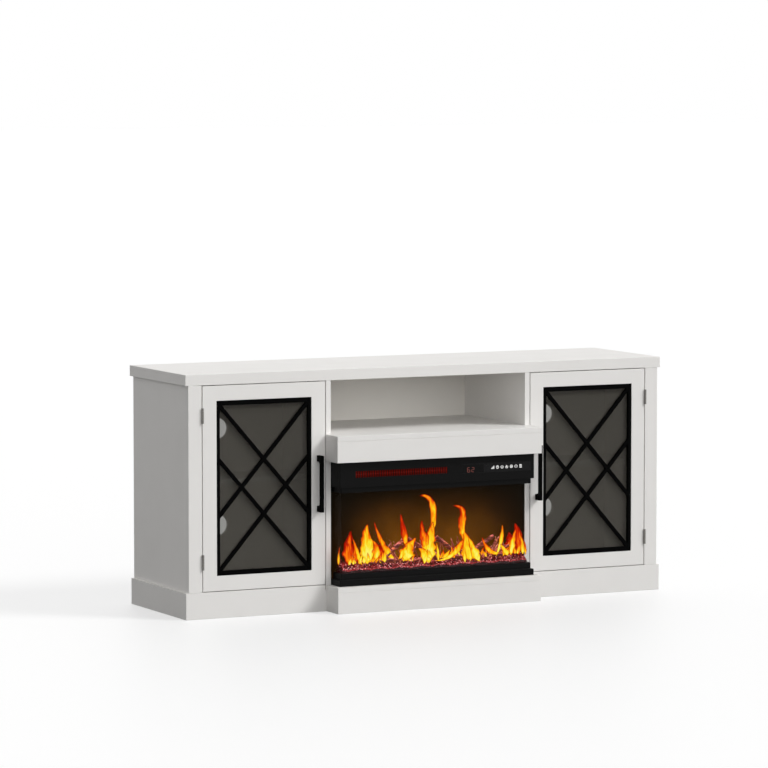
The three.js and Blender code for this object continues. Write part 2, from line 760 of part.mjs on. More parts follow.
// Three clear panes between the sill and the header's lip
function addPanes() {
  const zs = [sillTopZ + paneClearance, headerBottomZ - paneClearance];
  const half = insertHalf - lipInset;
  const frontY = insertFrontY + lipInset;
  addBoard(stand, "front_pane", clearGlass, [-half, half], [frontY, frontY + paneThickness], zs);
  for (const side of [-1, 1]) {
    const xs = spanOn(side, half - paneThickness, half);
    const ys = [frontY + paneThickness + seam, caseFrontY - paneClearance];
    addBoard(stand, `${sideName(side)}_side_pane`, clearGlass, xs, ys, zs);
  }
}

function addFlameScreen() {
  const half = caseInnerHalf - paneClearance;
  const ys = [caseFrontY + screenSetback, screenRearY];
  const zs = [caseFloorZ + paneClearance, partitionTopZ - caseSheet - paneClearance];
  addBoard(stand, "flame_screen", smokedAcrylic, [-half, half], ys, zs);
}

// Logs: a row of them lies along the fuel bed, and others lean up from it. Shift counts along the row
const bedFrontY = insertFrontY + lipInset + paneThickness + bedMargin;
const bedRearY = caseFrontY - bedMargin;
const bedHalf = insertHalf - lipInset - paneThickness - bedMargin;
const lyingLogs = [
  { shift: -2, turn: -0.08, tilt: 0.04 },
  { shift: -1, turn: 0.1, tilt: -0.06 },
  { shift: 0, turn: -0.12, tilt: 0.05 },
  { shift: 1, turn: 0.09, tilt: -0.04 },
  { shift: 2, turn: -0.1, tilt: 0.05 },
];
const leaningLogs = [
  { shift: -1.43, turn: 0.12, tilt: 0.62 },
  { shift: -0.37, turn: -0.1, tilt: -0.6 },
  { shift: 0.58, turn: 0.1, tilt: -0.62 },
  { shift: 1.67, turn: -0.12, tilt: 0.56 },
  { shift: 2.5, turn: 0.08, tilt: 0.34 },
];

function logSolid(gap) {
  const thick = logDiameter / 2 + gap;
  const reach = logLength - logDiameter;
  const placeLog = ({ shift, turn, tilt }, lift) => {
    const log = new THREE.CylinderGeometry(thick, thick * logTaperShare, logLength + gap + gap, logSides);
    log.rotateZ(Math.PI / 2);
    log.rotateY(-tilt);
    log.applyMatrix4(new THREE.Matrix4().makeRotationZ(turn));
    log.translate(shift * reach, (bedFrontY + bedRearY) / 2, logMiddleZ + lift);
    return log;
  };
  const lying = lyingLogs.map((log) => placeLog(log, 0));
  const leaning = leaningLogs.map((log) => placeLog(log, (Math.abs(Math.sin(log.tilt)) * logLength) / 2));
  return join(...lying, ...leaning);
}

const bedBottomZ = sillTopZ + seam;
const bedMiddleHeight = (bedFrontHeight + bedRearHeight) / 2;
const logMiddleZ = bedBottomZ + bedMiddleHeight + bedRipple + logDiameter / 2 - logSink;

// Broken crystal heaped against the screen: the top of a flat box lifted by a slope and two ripples
function fuelBed() {
  const width = bedHalf + bedHalf;
  const depth = bedRearY - bedFrontY;
  const bed = new THREE.BoxGeometry(width, depth, bedFrontHeight, bedColumns, bedRows, 1);
  const position = bed.attributes.position;
  for (let i = 0; i < position.count; i += 1) {
    if (position.getZ(i) <= 0) continue;
    const x = position.getX(i);
    const rearShare = position.getY(i) / depth + 1 / 2;
    const slope = (bedRearHeight - bedFrontHeight) * rearShare;
    const across = Math.sin((x / bedRipplePitch) * Math.PI);
    const along = Math.cos((x / bedRipplePitch + rearShare * bedRows) * Math.SQRT2);
    position.setZ(i, bedFrontHeight / 2 + slope + bedRipple * across * along);
  }
  bed.translate(0, (bedFrontY + bedRearY) / 2, bedBottomZ + bedFrontHeight / 2);
  return bed;
}

function addFuel() {
  addPiece(stand, "log_set", charredLog, geometryOf(logSolid(0)));
  addPiece(stand, "ember_bed", emberCrystal, geometryOf(solidOf(fuelBed()).subtract(logSolid(logGap))));
}

// Finned heating element behind the outlet's slots
function addHeater() {
  const [x0, x1] = outletXs;
  const elementFrontY = insertFrontY + insertWall + paneClearance;
  const elementYs = [elementFrontY, elementFrontY + heaterDepth];
  const elementZs = [outletZs[0] - heaterMargin, outletZs[1] + heaterMargin];
  const topPlateZ = elementZs[1] - heaterPlateThickness;
  const plateZs = [elementZs[0], (elementZs[0] + topPlateZ) / 2, topPlateZ];
  const strips = plateZs.map((z) => boxBetween([x0, x1], elementYs, [z, z + heaterPlateThickness]));
  const finPitch = (x1 - x0 - heaterFinThickness) / (heaterFinCount - 1);
  const fins = [];
  for (let fin = 0; fin < heaterFinCount; fin += 1) {
    const x = x0 + fin * finPitch;
    fins.push(boxBetween([x, x + heaterFinThickness], elementYs, elementZs));
  }
  addPiece(stand, "heater_element", greySteel, geometryOf(join(...strips, ...fins)));
}

function addControlPanel() {
  const xs = [panelXs[0] + paneClearance, panelXs[1] - paneClearance];
  const zs = [panelZs[0] + paneClearance, panelZs[1] - paneClearance];
  addBoard(stand, "control_panel", glossBlack, xs, [insertFrontY, insertFrontY + panelThickness], zs);
}

// A motor is a round can with a socket for the shaft it turns
function motorCan(diameter, x0, x1, shaftDiameter) {
  const socketDiameter = shaftDiameter + runningGap + runningGap;
  const socket = rodAlongX(socketDiameter, x0 - overrun, x0 + socketDepth, fineSides);
  return cut(solidOf(rodAlongX(diameter, x0, x1, smallSides)), socket);
}

// Cross-flow wheel: two discs, a ring of blades and a shaft from the bearing to the motor's socket
function addBlower() {
  const radius = blowerDiameter / 2;
  const discs = [
    rodAlongX(blowerDiameter, blowerLeftX, blowerLeftX + blowerDiscThickness, smallSides),
    rodAlongX(blowerDiameter, blowerRightX - blowerDiscThickness, blowerRightX, smallSides),
  ];
  const motorX = blowerRightX + runningGap;
  const shaft = rodAlongX(blowerShaftDiameter, blowerPostX, motorX + socketDepth - runningGap, fineSides);
  const blades = [];
  const bladeOuter = radius - blowerBladeThickness;
  const bladeXs = [blowerLeftX + blowerDiscThickness / 2, blowerRightX - blowerDiscThickness / 2];
  for (let blade = 0; blade < blowerBladeCount; blade += 1) {
    const zs = [bladeOuter - blowerBladeWidth, bladeOuter];
    const ys = [-blowerBladeThickness / 2, blowerBladeThickness / 2];
    const box = boxBetween(bladeXs, ys, zs);
    box.rotateX((blade / blowerBladeCount) * Math.PI * 2);
    blades.push(box);
  }
  const place = new THREE.Vector3(0, blowerY, blowerZ);
  addPiece(stand, "blower_wheel", blackPlastic, geometryOf(join(...discs, shaft, ...blades)), place);

  const footTop = -blowerMotorDiameter / 4;
  const footBottom = partitionTopZ + runningGap - blowerZ;
  const motorXs = [motorX, motorX + blowerMotorLength];
  const footYs = [-blowerMotorFootWidth / 2, blowerMotorFootWidth / 2];
  const foot = boxBetween([motorX + socketDepth, motorXs[1]], footYs, [footBottom, footTop]);
  const can = motorCan(blowerMotorDiameter, motorXs[0], motorXs[1], blowerShaftDiameter);
  addPiece(stand, "blower_motor", greySteel, geometryOf(can.add(solidOf(foot))), place);
}

// Turning rod with bright tabs that throw moving light on the screen
function addSpindle() {
  const motorX = caseInnerHalf - runningGap - spindleMotorLength;
  const rodXs = [spindlePostX, motorX + socketDepth - runningGap];
  const rod = rodAlongX(spindleDiameter, rodXs[0], rodXs[1], fineSides);
  const firstX = spindlePostX + bearingThickness + tabWidth;
  const pitch = (motorX - tabWidth - firstX) / tabCount;
  const tabs = [];
  for (let tab = 0; tab < tabCount; tab += 1) {
    const x = firstX + tab * pitch;
    const box = boxBetween([x, x + tabWidth], [-tabThickness / 2, tabThickness / 2], [0, tabLength]);
    box.rotateX(((tab % tabRows) / tabRows) * Math.PI * 2);
    tabs.push(box);
  }
  const place = new THREE.Vector3(0, spindleY, spindleZ);
  addPiece(stand, "flame_spindle", satinNickel, geometryOf(join(rod, ...tabs)), place);
  const can = motorCan(spindleMotorDiameter, motorX, motorX + spindleMotorLength, spindleDiameter);
  addPiece(stand, "spindle_motor", greySteel, geometryOf(can), place);
}

// Gland where the mains cord leaves the case: flange, collar and a bore, turned as one ring
function addGland() {
  const bore = glandBoreDiameter / 2;
  const profile = [
    [bore, 0],
    [glandFlangeDiameter / 2, 0],
    [glandFlangeDiameter / 2, glandFlangeThickness],
    [glandCollarDiameter / 2, glandFlangeThickness],
    [(bore + glandCollarDiameter / 2) / 2, glandLength],
    [bore, glandLength],
    [bore, 0],
  ];
  const gland = new THREE.LatheGeometry(profile.map(([r, y]) => new THREE.Vector2(r, y)), smallSides);
  const place = new THREE.Vector3(insertHalf - glandInset, caseBackY + seam, caseFloorZ + glandHeight);
  addPiece(stand, "cord_gland", blackPlastic, geometryOf(solidOf(gland)), place);
}

addTop();
for (const side of [-1, 1]) {
  addCarcassSide(side);
  addPlinth(side);
  addDoor(side);
  addHinges(side);
  addCatch(side);
}
addBackPanels();
addMantel();
addBase();
addCase();
addHeader();
addSill();
addPanes();
addFlameScreen();
addFuel();
addHeater();
addControlPanel();
addBlower();
addSpindle();
addGland();

export default stand;
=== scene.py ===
import json
import math
import random

import bmesh
import bpy
from mathutils import Matrix, Vector, noise
from mathutils.bvhtree import BVHTree

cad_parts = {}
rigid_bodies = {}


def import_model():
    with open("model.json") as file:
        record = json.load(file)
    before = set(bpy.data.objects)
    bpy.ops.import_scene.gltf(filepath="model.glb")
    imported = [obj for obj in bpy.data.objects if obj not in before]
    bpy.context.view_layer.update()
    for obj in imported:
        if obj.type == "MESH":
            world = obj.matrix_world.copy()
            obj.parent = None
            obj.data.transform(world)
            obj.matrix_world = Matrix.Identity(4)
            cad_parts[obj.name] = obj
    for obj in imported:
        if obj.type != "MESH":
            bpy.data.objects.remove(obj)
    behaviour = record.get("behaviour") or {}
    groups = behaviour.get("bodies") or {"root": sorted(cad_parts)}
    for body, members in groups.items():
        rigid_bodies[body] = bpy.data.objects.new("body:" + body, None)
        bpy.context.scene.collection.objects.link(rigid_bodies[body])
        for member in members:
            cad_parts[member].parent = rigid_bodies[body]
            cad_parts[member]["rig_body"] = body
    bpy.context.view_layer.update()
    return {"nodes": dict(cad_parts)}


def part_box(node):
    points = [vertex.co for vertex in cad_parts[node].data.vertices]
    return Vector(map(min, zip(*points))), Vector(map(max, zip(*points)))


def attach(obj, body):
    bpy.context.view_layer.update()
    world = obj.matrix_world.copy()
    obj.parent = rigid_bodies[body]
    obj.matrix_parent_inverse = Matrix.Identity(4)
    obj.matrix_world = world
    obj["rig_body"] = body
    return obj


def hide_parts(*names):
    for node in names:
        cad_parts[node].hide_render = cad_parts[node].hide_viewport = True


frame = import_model()
print("frame loaded")

mm = 0.001
scene = bpy.context.scene
scene.view_settings.view_transform = "Standard"

# Camera: left of the cabinet, a little above its top, with a long lens
cameraLook = {
    "place": (-6.5644, -13.1590, 1.9540),
    "tilt": 85.24,
    "turn": -26.25,
    "lens": 204.34,
    "farthest": 200,
}
cameraData = bpy.data.cameras.new("camera")
cameraData.lens = cameraLook["lens"]
cameraData.clip_end = cameraLook["farthest"]
camera = bpy.data.objects.new("camera", cameraData)
camera.location = cameraLook["place"]
camera.rotation_euler = (math.radians(cameraLook["tilt"]), 0, math.radians(cameraLook["turn"]))
scene.collection.objects.link(camera)
scene.camera = camera


# A screen colour, written in hex, as linear light
def srgb(text):
    shares = [int(text[i:i + 2], 16) / 255 for i in (0, 2, 4)]
    return tuple(s / 12.92 if s <= 0.04045 else ((s + 0.055) / 1.055) ** 2.4 for s in shares) + (1,)


# Adds a node. An input is a constant, or a node or socket to link. Stops are places and colours of a ramp
def addNode(tree, kind, inputs=None, stops=(), **settings):
    added = tree.nodes.new("ShaderNode" + kind)
    for name, value in settings.items():
        setattr(added, name, value)
    for name, value in (inputs or {}).items():
        if isinstance(value, bpy.types.Node):
            tree.links.new(value.outputs[0], added.inputs[name])
        elif isinstance(value, bpy.types.NodeSocket):
            tree.links.new(value, added.inputs[name])
        else:
            added.inputs[name].default_value = value
    while stops and len(added.color_ramp.elements) < len(stops):
        added.color_ramp.elements.new(0.5)
    for place, (position, colour) in enumerate(stops):
        added.color_ramp.elements[place].position = position
        added.color_ramp.elements[place].color = srgb(colour)
    return added


def newMaterial(name):
    material = bpy.data.materials.new(name)
    material.use_nodes = True
    material.node_tree.nodes.clear()
    return material, material.node_tree


# Nearly all of a noise's values lie in the first range. The second, wider one gives softer patches
noiseRange = {"From Min": 0.3, "From Max": 0.7}
softRange = {"From Min": 0.25, "From Max": 0.75}
finishSwing = {"coat": 0.03, "metal": 0.05}  # how far a roughness wanders either way


# Paint, powder coat or moulded plastic: two close tones in soft blotches, and a fine grain
def coated(name, look):
    material, tree = newMaterial(name)
    place = addNode(tree, "TexCoord").outputs["Object"]
    blotches = addNode(tree, "TexNoise", {"Vector": place, "Scale": 1 / (look["blotch"] * mm)})
    grain = addNode(tree, "TexNoise", {"Vector": place, "Scale": 1 / (look["grain"] * mm)})
    tones = {0: blotches, 6: srgb(look["colour"]), 7: srgb(look["shade"])}
    spread = {
        "Value": blotches,
        **noiseRange,
        "To Min": look["roughness"] - finishSwing["coat"],
        "To Max": look["roughness"] + finishSwing["coat"],
    }
    surface = addNode(tree, "BsdfPrincipled", {
        "Base Color": addNode(tree, "Mix", tones, data_type="RGBA").outputs[2],
        "Roughness": addNode(tree, "MapRange", spread),
        "Specular IOR Level": look["shine"],
        "Normal": addNode(tree, "Bump", {"Height": grain, "Distance": look["depth"] * mm}),
    })
    addNode(tree, "OutputMaterial", {"Surface": surface})
    return material


whiteLacquer = coated("white lacquer", {
    "colour": "eeece9",
    "shade": "eae8e5",
    "shine": 0.2,
    "roughness": 0.5,
    "blotch": 90,
    "grain": 1.6,
    "depth": 0.02,
})  # satin white paint, warm and even, with a faint orange peel

backLacquer = coated("back board foil", {
    "colour": "eae7e1",
    "shade": "e6e3dd",
    "shine": 0.3,
    "roughness": 0.6,
    "blotch": 120,
    "grain": 0.9,
    "depth": 0.015,
})  # the back boards are a little warmer and duller than the painted boards

barCoat = coated("matt black powder coat", {
    "colour": "040404",
    "shade": "030303",
    "shine": 0.02,
    "roughness": 0.6,
    "blotch": 40,
    "grain": 0.5,
    "depth": 0.03,
})  # the deep black of the door bars and the handles

blackCoat = coated("black powder coat", {
    "colour": "0a0a0a",
    "shade": "080808",
    "shine": 0.07,
    "roughness": 0.45,
    "blotch": 40,
    "grain": 0.5,
    "depth": 0.03,
})  # near black steel with a fine grain that softens the highlights

caseCoat = coated("sheet steel coating", {
    "colour": "0c0c0c",
    "shade": "090909",
    "shine": 0.1,
    "roughness": 0.6,
    "blotch": 60,
    "grain": 0.7,
    "depth": 0.02,
})  # flat black inside and behind the fire

blackPlastic = coated("moulded black nylon", {
    "colour": "151515",
    "shade": "101010",
    "shine": 0.3,
    "roughness": 0.5,
    "blotch": 20,
    "grain": 0.35,
    "depth": 0.02,
})  # catches, wheel and gland with a spark-eroded grain

glossPanel = coated("gloss black acrylic", {
    "colour": "0c0c0d",
    "shade": "0a0a0b",
    "shine": 0.12,
    "roughness": 0.15,
    "blotch": 30,
    "grain": 3.0,
    "depth": 0.002,
})  # polished panel, smoother than the steel around it

windowCoat = coated("smoked display window", {
    "colour": "060606",
    "shade": "050505",
    "shine": 0.08,
    "roughness": 0.1,
    "blotch": 20,
    "grain": 4.0,
    "depth": 0.001,
})  # a darker, glossier field around the digits


# Bare metal with fine lines along one axis
def brushed(name, look):
    material, tree = newMaterial(name)
    place = addNode(tree, "TexCoord").outputs["Object"]
    along = addNode(tree, "Mapping", {"Vector": place, "Scale": look["stretch"]})
    lines = addNode(tree, "TexNoise", {"Vector": along, "Scale": 1 / (look["line"] * mm), "Detail": 3})
    tones = {0: lines, 6: srgb(look["colour"]), 7: srgb(look["shade"])}
    spread = {
        "Value": lines,
        **noiseRange,
        "To Min": look["roughness"] - finishSwing["metal"],
        "To Max": look["roughness"] + finishSwing["metal"],
    }
    surface = addNode(tree, "BsdfPrincipled", {
        "Base Color": addNode(tree, "Mix", tones, data_type="RGBA").outputs[2],
        "Metallic": 1,
        "Roughness": addNode(tree, "MapRange", spread),
        "Normal": addNode(tree, "Bump", {"Height": lines, "Distance": look["depth"] * mm}),
    })
    addNode(tree, "OutputMaterial", {"Surface": surface})
    return material


# The hinge metal is painted darker than bare nickel, as painted shade for its place in the door gap
shadedNickel = brushed("satin nickel", {
    "colour": "82807c",
    "shade": "686663",
    "roughness": 0.36,
    "line": 0.5,
    "stretch": (1, 1, 0.05),
    "depth": 0.01,
})  # grey nickel, painted darker as shade for the gap the hinge sits in, with lines along the hinge

motorSteel = brushed("zinc plated steel", {
    "colour": "aeb0b2",
    "shade": "8f9193",
    "roughness": 0.38,
    "line": 0.8,
    "stretch": (0.1, 1, 1),
    "depth": 0.02,
})  # cool grey motor cans with drawing lines

brightTabs = brushed("bright rolled aluminium", {
    "colour": "d6d6d4",
    "shade": "c2c2c0",
    "roughness": 0.15,
    "line": 0.6,
    "stretch": (1, 0.2, 1),
    "depth": 0.01,
})  # almost a mirror, so the tabs can throw light


glassSmears = {"From Min": 0.35, "From Max": 0.75, "To Min": 0.02}  # wiped glass is the smoothest
slantPower = 5  # how late in the slant the mirror sets in


# Float glass: light goes straight through, tinted, but for a faint haze. It mirrors more at a slant
def sheetGlass(name, look):
    material, tree = newMaterial(name)
    place = addNode(tree, "TexCoord").outputs["Object"]
    smears = addNode(tree, "TexNoise", {"Vector": place, "Scale": 1 / (look["smear"] * mm), "Detail": 3})
    wiped = {"Value": smears, **glassSmears, "To Max": look["roughness"]}
    slant = addNode(tree, "LayerWeight").outputs["Facing"]
    steep = addNode(tree, "Math", {0: slant, 1: slantPower}, operation="POWER")
    shares = {0: steep, 1: look["slanted"], 2: look["mirror"]}
    mirror = addNode(tree, "Math", shares, operation="MULTIPLY_ADD")
    clear = addNode(tree, "BsdfTransparent", {"Color": srgb(look["tint"])})
    haze = addNode(tree, "BsdfDiffuse", {"Color": srgb(look["dust"])})
    sheet = addNode(tree, "MixShader", {0: look["haze"], 1: clear, 2: haze})
    gloss = addNode(tree, "BsdfAnisotropic", {"Roughness": addNode(tree, "MapRange", wiped)})
    surface = addNode(tree, "MixShader", {0: mirror, 1: sheet, 2: gloss})
    addNode(tree, "OutputMaterial", {"Surface": surface})
    return material


tintedGlass = sheetGlass("grey tinted glass", {
    "tint": "bcbcbb",
    "dust": "fff6e6",
    "haze": 0.045,
    "mirror": 0.004,
    "slanted": 0.9,
    "roughness": 0.05,
    "smear": 70,
})  # the compartments show through it as dim rooms

clearGlass = sheetGlass("clear glass", {
    "tint": "fafafa",
    "dust": "ffffff",
    "haze": 0.0,
    "mirror": 0.001,
    "slanted": 0.12,
    "roughness": 0.04,
    "smear": 50,
})  # clean panes, seen by their edges and slanting reflections
print("paints, metals and glass made")


# CAD nodes that keep their own shape take the new finish
def paint(material, *names):
    for name in names:
        data = frame["nodes"][name].data
        data.materials.clear()
        data.materials.append(material)


# The mesh becomes a piece that rides on a body. It may take the place of CAD nodes
def placePiece(name, mesh, material, body, replaced=()):
    mesh.materials.append(material)
    piece = bpy.data.objects.new(name, mesh)
    scene.collection.objects.link(piece)
    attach(piece, body)
    if replaced:
        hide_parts(*replaced)


# The same from a finished bmesh
def makePiece(name, shape, material, body, replaced=()):
    bmesh.ops.recalc_face_normals(shape, faces=shape.faces)
    mesh = bpy.data.meshes.new(name)
    shape.to_mesh(mesh)
    shape.free()
    placePiece(name, mesh, material, body, replaced)


# Corners nearer than the weld, in millimetres, are one. Faces that meet nearly flat, in degrees, are
# joined, and edges that turn by more than the sharp angle are eased
easeLook = {"weld": 0.005, "flat": 0.5, "sharp": 30}


# A CAD node's shape with its seams merged
def nodeShape(nodeName):
    shape = bmesh.new()
    shape.from_mesh(frame["nodes"][nodeName].data)
    bmesh.ops.remove_doubles(shape, verts=shape.verts, dist=easeLook["weld"] * mm)
    return shape


# The node again with its sharp edges eased. Flat faces with many openings stay in triangles
def softPiece(nodeName, material, width, steps=2, joined=True):
    shape = nodeShape(nodeName)
    if joined:
        flat = math.radians(easeLook["flat"])
        bmesh.ops.dissolve_limit(shape, angle_limit=flat, verts=shape.verts, edges=shape.edges)
    sharp = math.radians(easeLook["sharp"])
    corners = [edge for edge in shape.edges if len(edge.link_faces) == 2 and edge.calc_face_angle() > sharp]
    bmesh.ops.bevel(
        shape, geom=corners, offset=width * mm, segments=steps, profile=0.5, affect="EDGES", material=-1
    )
    body = frame["nodes"][nodeName]["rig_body"]
    makePiece(nodeName + "_eased", shape, material, body, [nodeName])


# Painted boards, with the width of their eased edges in millimetres
boardLook = {"edge": 1.0, "steps": 3}
boards = ["top_panel", "mantel_shelf", "mantel_fascia", "centre_deck", "base_fascia"]
for side in ("left", "right"):
    boards += [side + "_" + part for part in (
        "side_panel", "divider", "stile", "floor_panel", "shelf", "plinth_front", "plinth_side",
        "mantel_return", "base_return", "door_frame",
    )]
for board in boards:
    softPiece(board, whiteLacquer, boardLook["edge"], boardLook["steps"])
paint(backLacquer, "back_panel", "left_back_panel", "right_back_panel")
print("boards done")

# Door furniture
metalLook = {"lattice": 0.5, "handle": 1.0, "handleSteps": 3}
for side in ("left", "right"):
    softPiece(side + "_door_lattice", barCoat, metalLook["lattice"], joined=False)
    softPiece(side + "_door_handle", barCoat, metalLook["handle"], metalLook["handleSteps"])
    paint(tintedGlass, side + "_door_glass")
    paint(blackPlastic, side + "_magnetic_catch")
    for level in ("upper", "lower"):
        paint(shadedNickel, f"{side}_{level}_frame_leaf", f"{side}_{level}_door_leaf")
print("doors done")

# Fireplace shell
shellLook = {"header": 0.4, "sill": 0.7}
softPiece("fireplace_header", blackCoat, shellLook["header"], joined=False)
softPiece("fireplace_sill", blackCoat, shellLook["sill"])
paint(caseCoat, "fireplace_case")
paint(clearGlass, "front_pane", "left_side_pane", "right_side_pane")
paint(glossPanel, "control_panel")
paint(blackPlastic, "blower_wheel", "cord_gland")
paint(motorSteel, "blower_motor", "spindle_motor")
paint(brightTabs, "flame_spindle")


# Heating element: dark fins with a dull red glow that is strongest half way up
def glowingFins(name, look):
    material, tree = newMaterial(name)
    low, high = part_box("heater_element")
    place = addNode(tree, "TexCoord").outputs["Object"]
    height = addNode(tree, "SeparateXYZ", {0: place}).outputs[2]
    offset = addNode(tree, "Math", {0: height, 1: (low.z + high.z) / 2}, operation="SUBTRACT")
    away = addNode(tree, "Math", {0: offset}, operation="ABSOLUTE")
    half = (high.z - low.z) / 2
    reach = {"Value": away, "From Min": 0, "From Max": half, "To Min": 1, "To Max": look["ends"]}
    patches = addNode(tree, "TexNoise", {"Vector": place, "Scale": 1 / (look["patch"] * mm)})
    uneven = {"Value": patches, **softRange, "To Min": look["cool"], "To Max": 1}
    terms = {0: addNode(tree, "MapRange", reach), 1: addNode(tree, "MapRange", uneven)}
    heat = addNode(tree, "Math", terms, operation="MULTIPLY")
    surface = addNode(tree, "BsdfPrincipled", {
        "Base Color": srgb(look["metal"]),
        "Roughness": look["roughness"],
        "Specular IOR Level": look["shine"],
        "Emission Color": srgb(look["glow"]),
        "Emission Strength": addNode(tree, "Math", {0: heat, 1: look["strength"]}, operation="MULTIPLY"),
    })
    addNode(tree, "OutputMaterial", {"Surface": surface})
    return material


heaterFins = glowingFins("oxidised heater fins", {
    "metal": "100504",
    "shine": 0.1,
    "roughness": 0.6,
    "glow": "c01a04",
    "strength": 0.24,
    "ends": 0.35,
    "cool": 0.5,
    "patch": 14,
})  # a dull red light behind the outlet's bars
paint(heaterFins, "heater_element")


# Print on the touch panel that lights up, a little unevenly
def litPrint(name, look):
    material, tree = newMaterial(name)
    place = addNode(tree, "TexCoord").outputs["Object"]
    grain = addNode(tree, "TexNoise", {"Vector": place, "Scale": 1 / (look["grain"] * mm)})
    worn = {
        "Value": grain,
        **noiseRange,
        "To Min": look["strength"] * look["worn"],
        "To Max": look["strength"],
    }
    surface = addNode(tree, "BsdfPrincipled", {
        "Base Color": srgb(look["ink"]),
        "Roughness": look["roughness"],
        "Emission Color": srgb(look["light"]),
        "Emission Strength": addNode(tree, "MapRange", worn),
    })
    addNode(tree, "OutputMaterial", {"Surface": surface})
    return material


digitLight = litPrint("red display segments", {
    "ink": "2a0a04",
    "roughness": 0.35,
    "light": "b43410",
    "strength": 0.22,
    "worn": 0.85,
    "grain": 2,
})  # dim orange red bars of the temperature

signLight = litPrint("backlit white ink", {
    "ink": "d8d8d6",
    "roughness": 0.35,
    "light": "e8e8e6",
    "strength": 0.6,
    "worn": 0.85,
    "grain": 2,
})  # white signs that shine a little

# Places on the panel are millimetres from its lower left corner
printLook = {
    "thick": 0.3,
    "window": (1.2, 0.5, 80.5, 27.5),
    "windowCorner": 2.0,
    "cornerSteps": 4,
    "digits": {"6": 19, "2": 35},
    "digitFoot": 2.2,
    "digitWide": 11,
    "digitHigh": 16.5,
    "digitBar": 2.0,
}

# Signs, from the first one's middle on. A ring starts and ends at so many turns from its top
signLook = {
    "count": 7,
    "first": 116,
    "pitch": 17.6,
    "middle": 15.2,
    "radius": 5.4,
    "line": 1.7,
    "ringSteps": 16,
    "whole": (0, 0.99),
    "openAbove": (0.13, 0.87),
    "wideOpen": (0.2, 0.8),
    "rightHalf": (0.04, 0.46),
    "leftHalf": (0.54, 0.96),
    "bars": 3,
    "columnPitch": 4,
    "columnWide": 2.6,
    "columnRise": 3.4,
    "rowPitch": 4.2,
    "rowHigh": 2.3,
}
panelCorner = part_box("control_panel")[0]


# A raised bar on the panel's face, from its left and lower edges
def raiseBar(shape, left, low, wide, high):
    thick = printLook["thick"]
    middle = Vector((left + wide / 2, 0, low + high / 2)) * mm + panelCorner
    size = Matrix.Diagonal((wide * mm, thick * mm, high * mm, 1))
    bmesh.ops.create_cube(shape, size=1, matrix=Matrix.Translation(middle) @ size)


# Part of a ring: a small square face swept round the sign's middle, in turns from the top
def raiseRing(shape, middle, start, end):
    radius, line, thick = signLook["radius"], signLook["line"], printLook["thick"]
    centre = Vector((middle, 0, signLook["middle"])) * mm + panelCorner
    turn = Matrix.Rotation(start * math.tau, 3, "Y")
    inner, half = radius - line, thick / 2
    places = (radius, -half), (radius, half), (inner, half), (inner, -half)
    corners = [Vector((0, y, r)) for r, y in places]
    face = shape.faces.new([shape.verts.new(centre + turn @ corner * mm) for corner in corners])
    swept = [face] + list(face.edges) + list(face.verts)
    angle = (end - start) * math.tau
    steps = signLook["ringSteps"]
    bmesh.ops.spin(shape, geom=swept, cent=centre, axis=(0, 1, 0), angle=angle, steps=steps)


def addDisplay():
    window = bmesh.new()
    raiseBar(window, *printLook["window"])
    half = printLook["thick"] * mm / 2
    deep = [edge for edge in window.edges if abs(edge.verts[0].co.y - edge.verts[1].co.y) > half]
    corner, steps = printLook["windowCorner"] * mm, printLook["cornerSteps"]
    bmesh.ops.bevel(
        window, geom=deep, offset=corner, segments=steps, profile=0.5, affect="EDGES", material=-1
    )
    makePiece("display_window", window, windowCoat, "cabinet")

    # Seven bars make a digit: how far across and up each one stands, and whether it lies flat
    bars = {
        "top": (0, 1, True),
        "middle": (0, 0.5, True),
        "bottom": (0, 0, True),
        "upperLeft": (0, 0.5, False),
        "upperRight": (1, 0.5, False),
        "lowerLeft": (0, 0, False),
        "lowerRight": (1, 0, False),
    }
    dark = {"6": ["upperRight"], "2": ["upperLeft", "lowerRight"]}
    digits = bmesh.new()
    wide, high, bar = printLook["digitWide"], printLook["digitHigh"], printLook["digitBar"]
    for digit, place in printLook["digits"].items():
        for across, up, flat in (bars[name] for name in bars if name not in dark[digit]):
            left = place + (bar if flat else across * (wide - bar))
            low = printLook["digitFoot"] + up * (high - bar)
            if flat:
                raiseBar(digits, left, low, wide - 2 * bar, bar)
            else:
                raiseBar(digits, left, low + bar / 2, bar, high / 2 - bar / 2)
    bmesh.ops.translate(digits, verts=digits.verts, vec=(0, -printLook["thick"] * mm, 0))
    makePiece("display_digits", digits, digitLight, "cabinet")


# Generic signs: stairs, a clock, a power mark, a flame, a lamp, a timer and a stack of bars
def addSigns():
    signs = bmesh.new()
    middles = [signLook["first"] + signLook["pitch"] * number for number in range(signLook["count"])]
    stairs, clock, power, fire, lamp, timer, stack = middles
    radius, line, height = signLook["radius"], signLook["line"], signLook["middle"]
    low = height - radius
    for column in range(signLook["bars"]):
        left = stairs - radius + column * signLook["columnPitch"]
        raiseBar(signs, left, low, signLook["columnWide"], (column + 1) * signLook["columnRise"])
    raiseRing(signs, clock, *signLook["whole"])
    raiseBar(signs, clock - line / 2, height - line / 2, line, radius - line)
    raiseRing(signs, power, *signLook["openAbove"])
    raiseBar(signs, power - line / 2, height, line, radius)
    raiseRing(signs, fire, *signLook["wideOpen"])
    raiseBar(signs, fire - line, height - line, 2 * line, radius + line / 2)
    raiseRing(signs, lamp, *signLook["whole"])
    raiseBar(signs, lamp - line, height - line, 2 * line, 2 * line)
    raiseRing(signs, timer, *signLook["rightHalf"])
    raiseRing(signs, timer, *signLook["leftHalf"])
    for row in range(signLook["bars"]):
        up = low + row * signLook["rowPitch"]
        raiseBar(signs, stack - radius + line / 2, up, 2 * radius - line, signLook["rowHigh"])
    makePiece("touch_signs", signs, signLight, "cabinet")


addDisplay()
addSigns()
print("controls done")


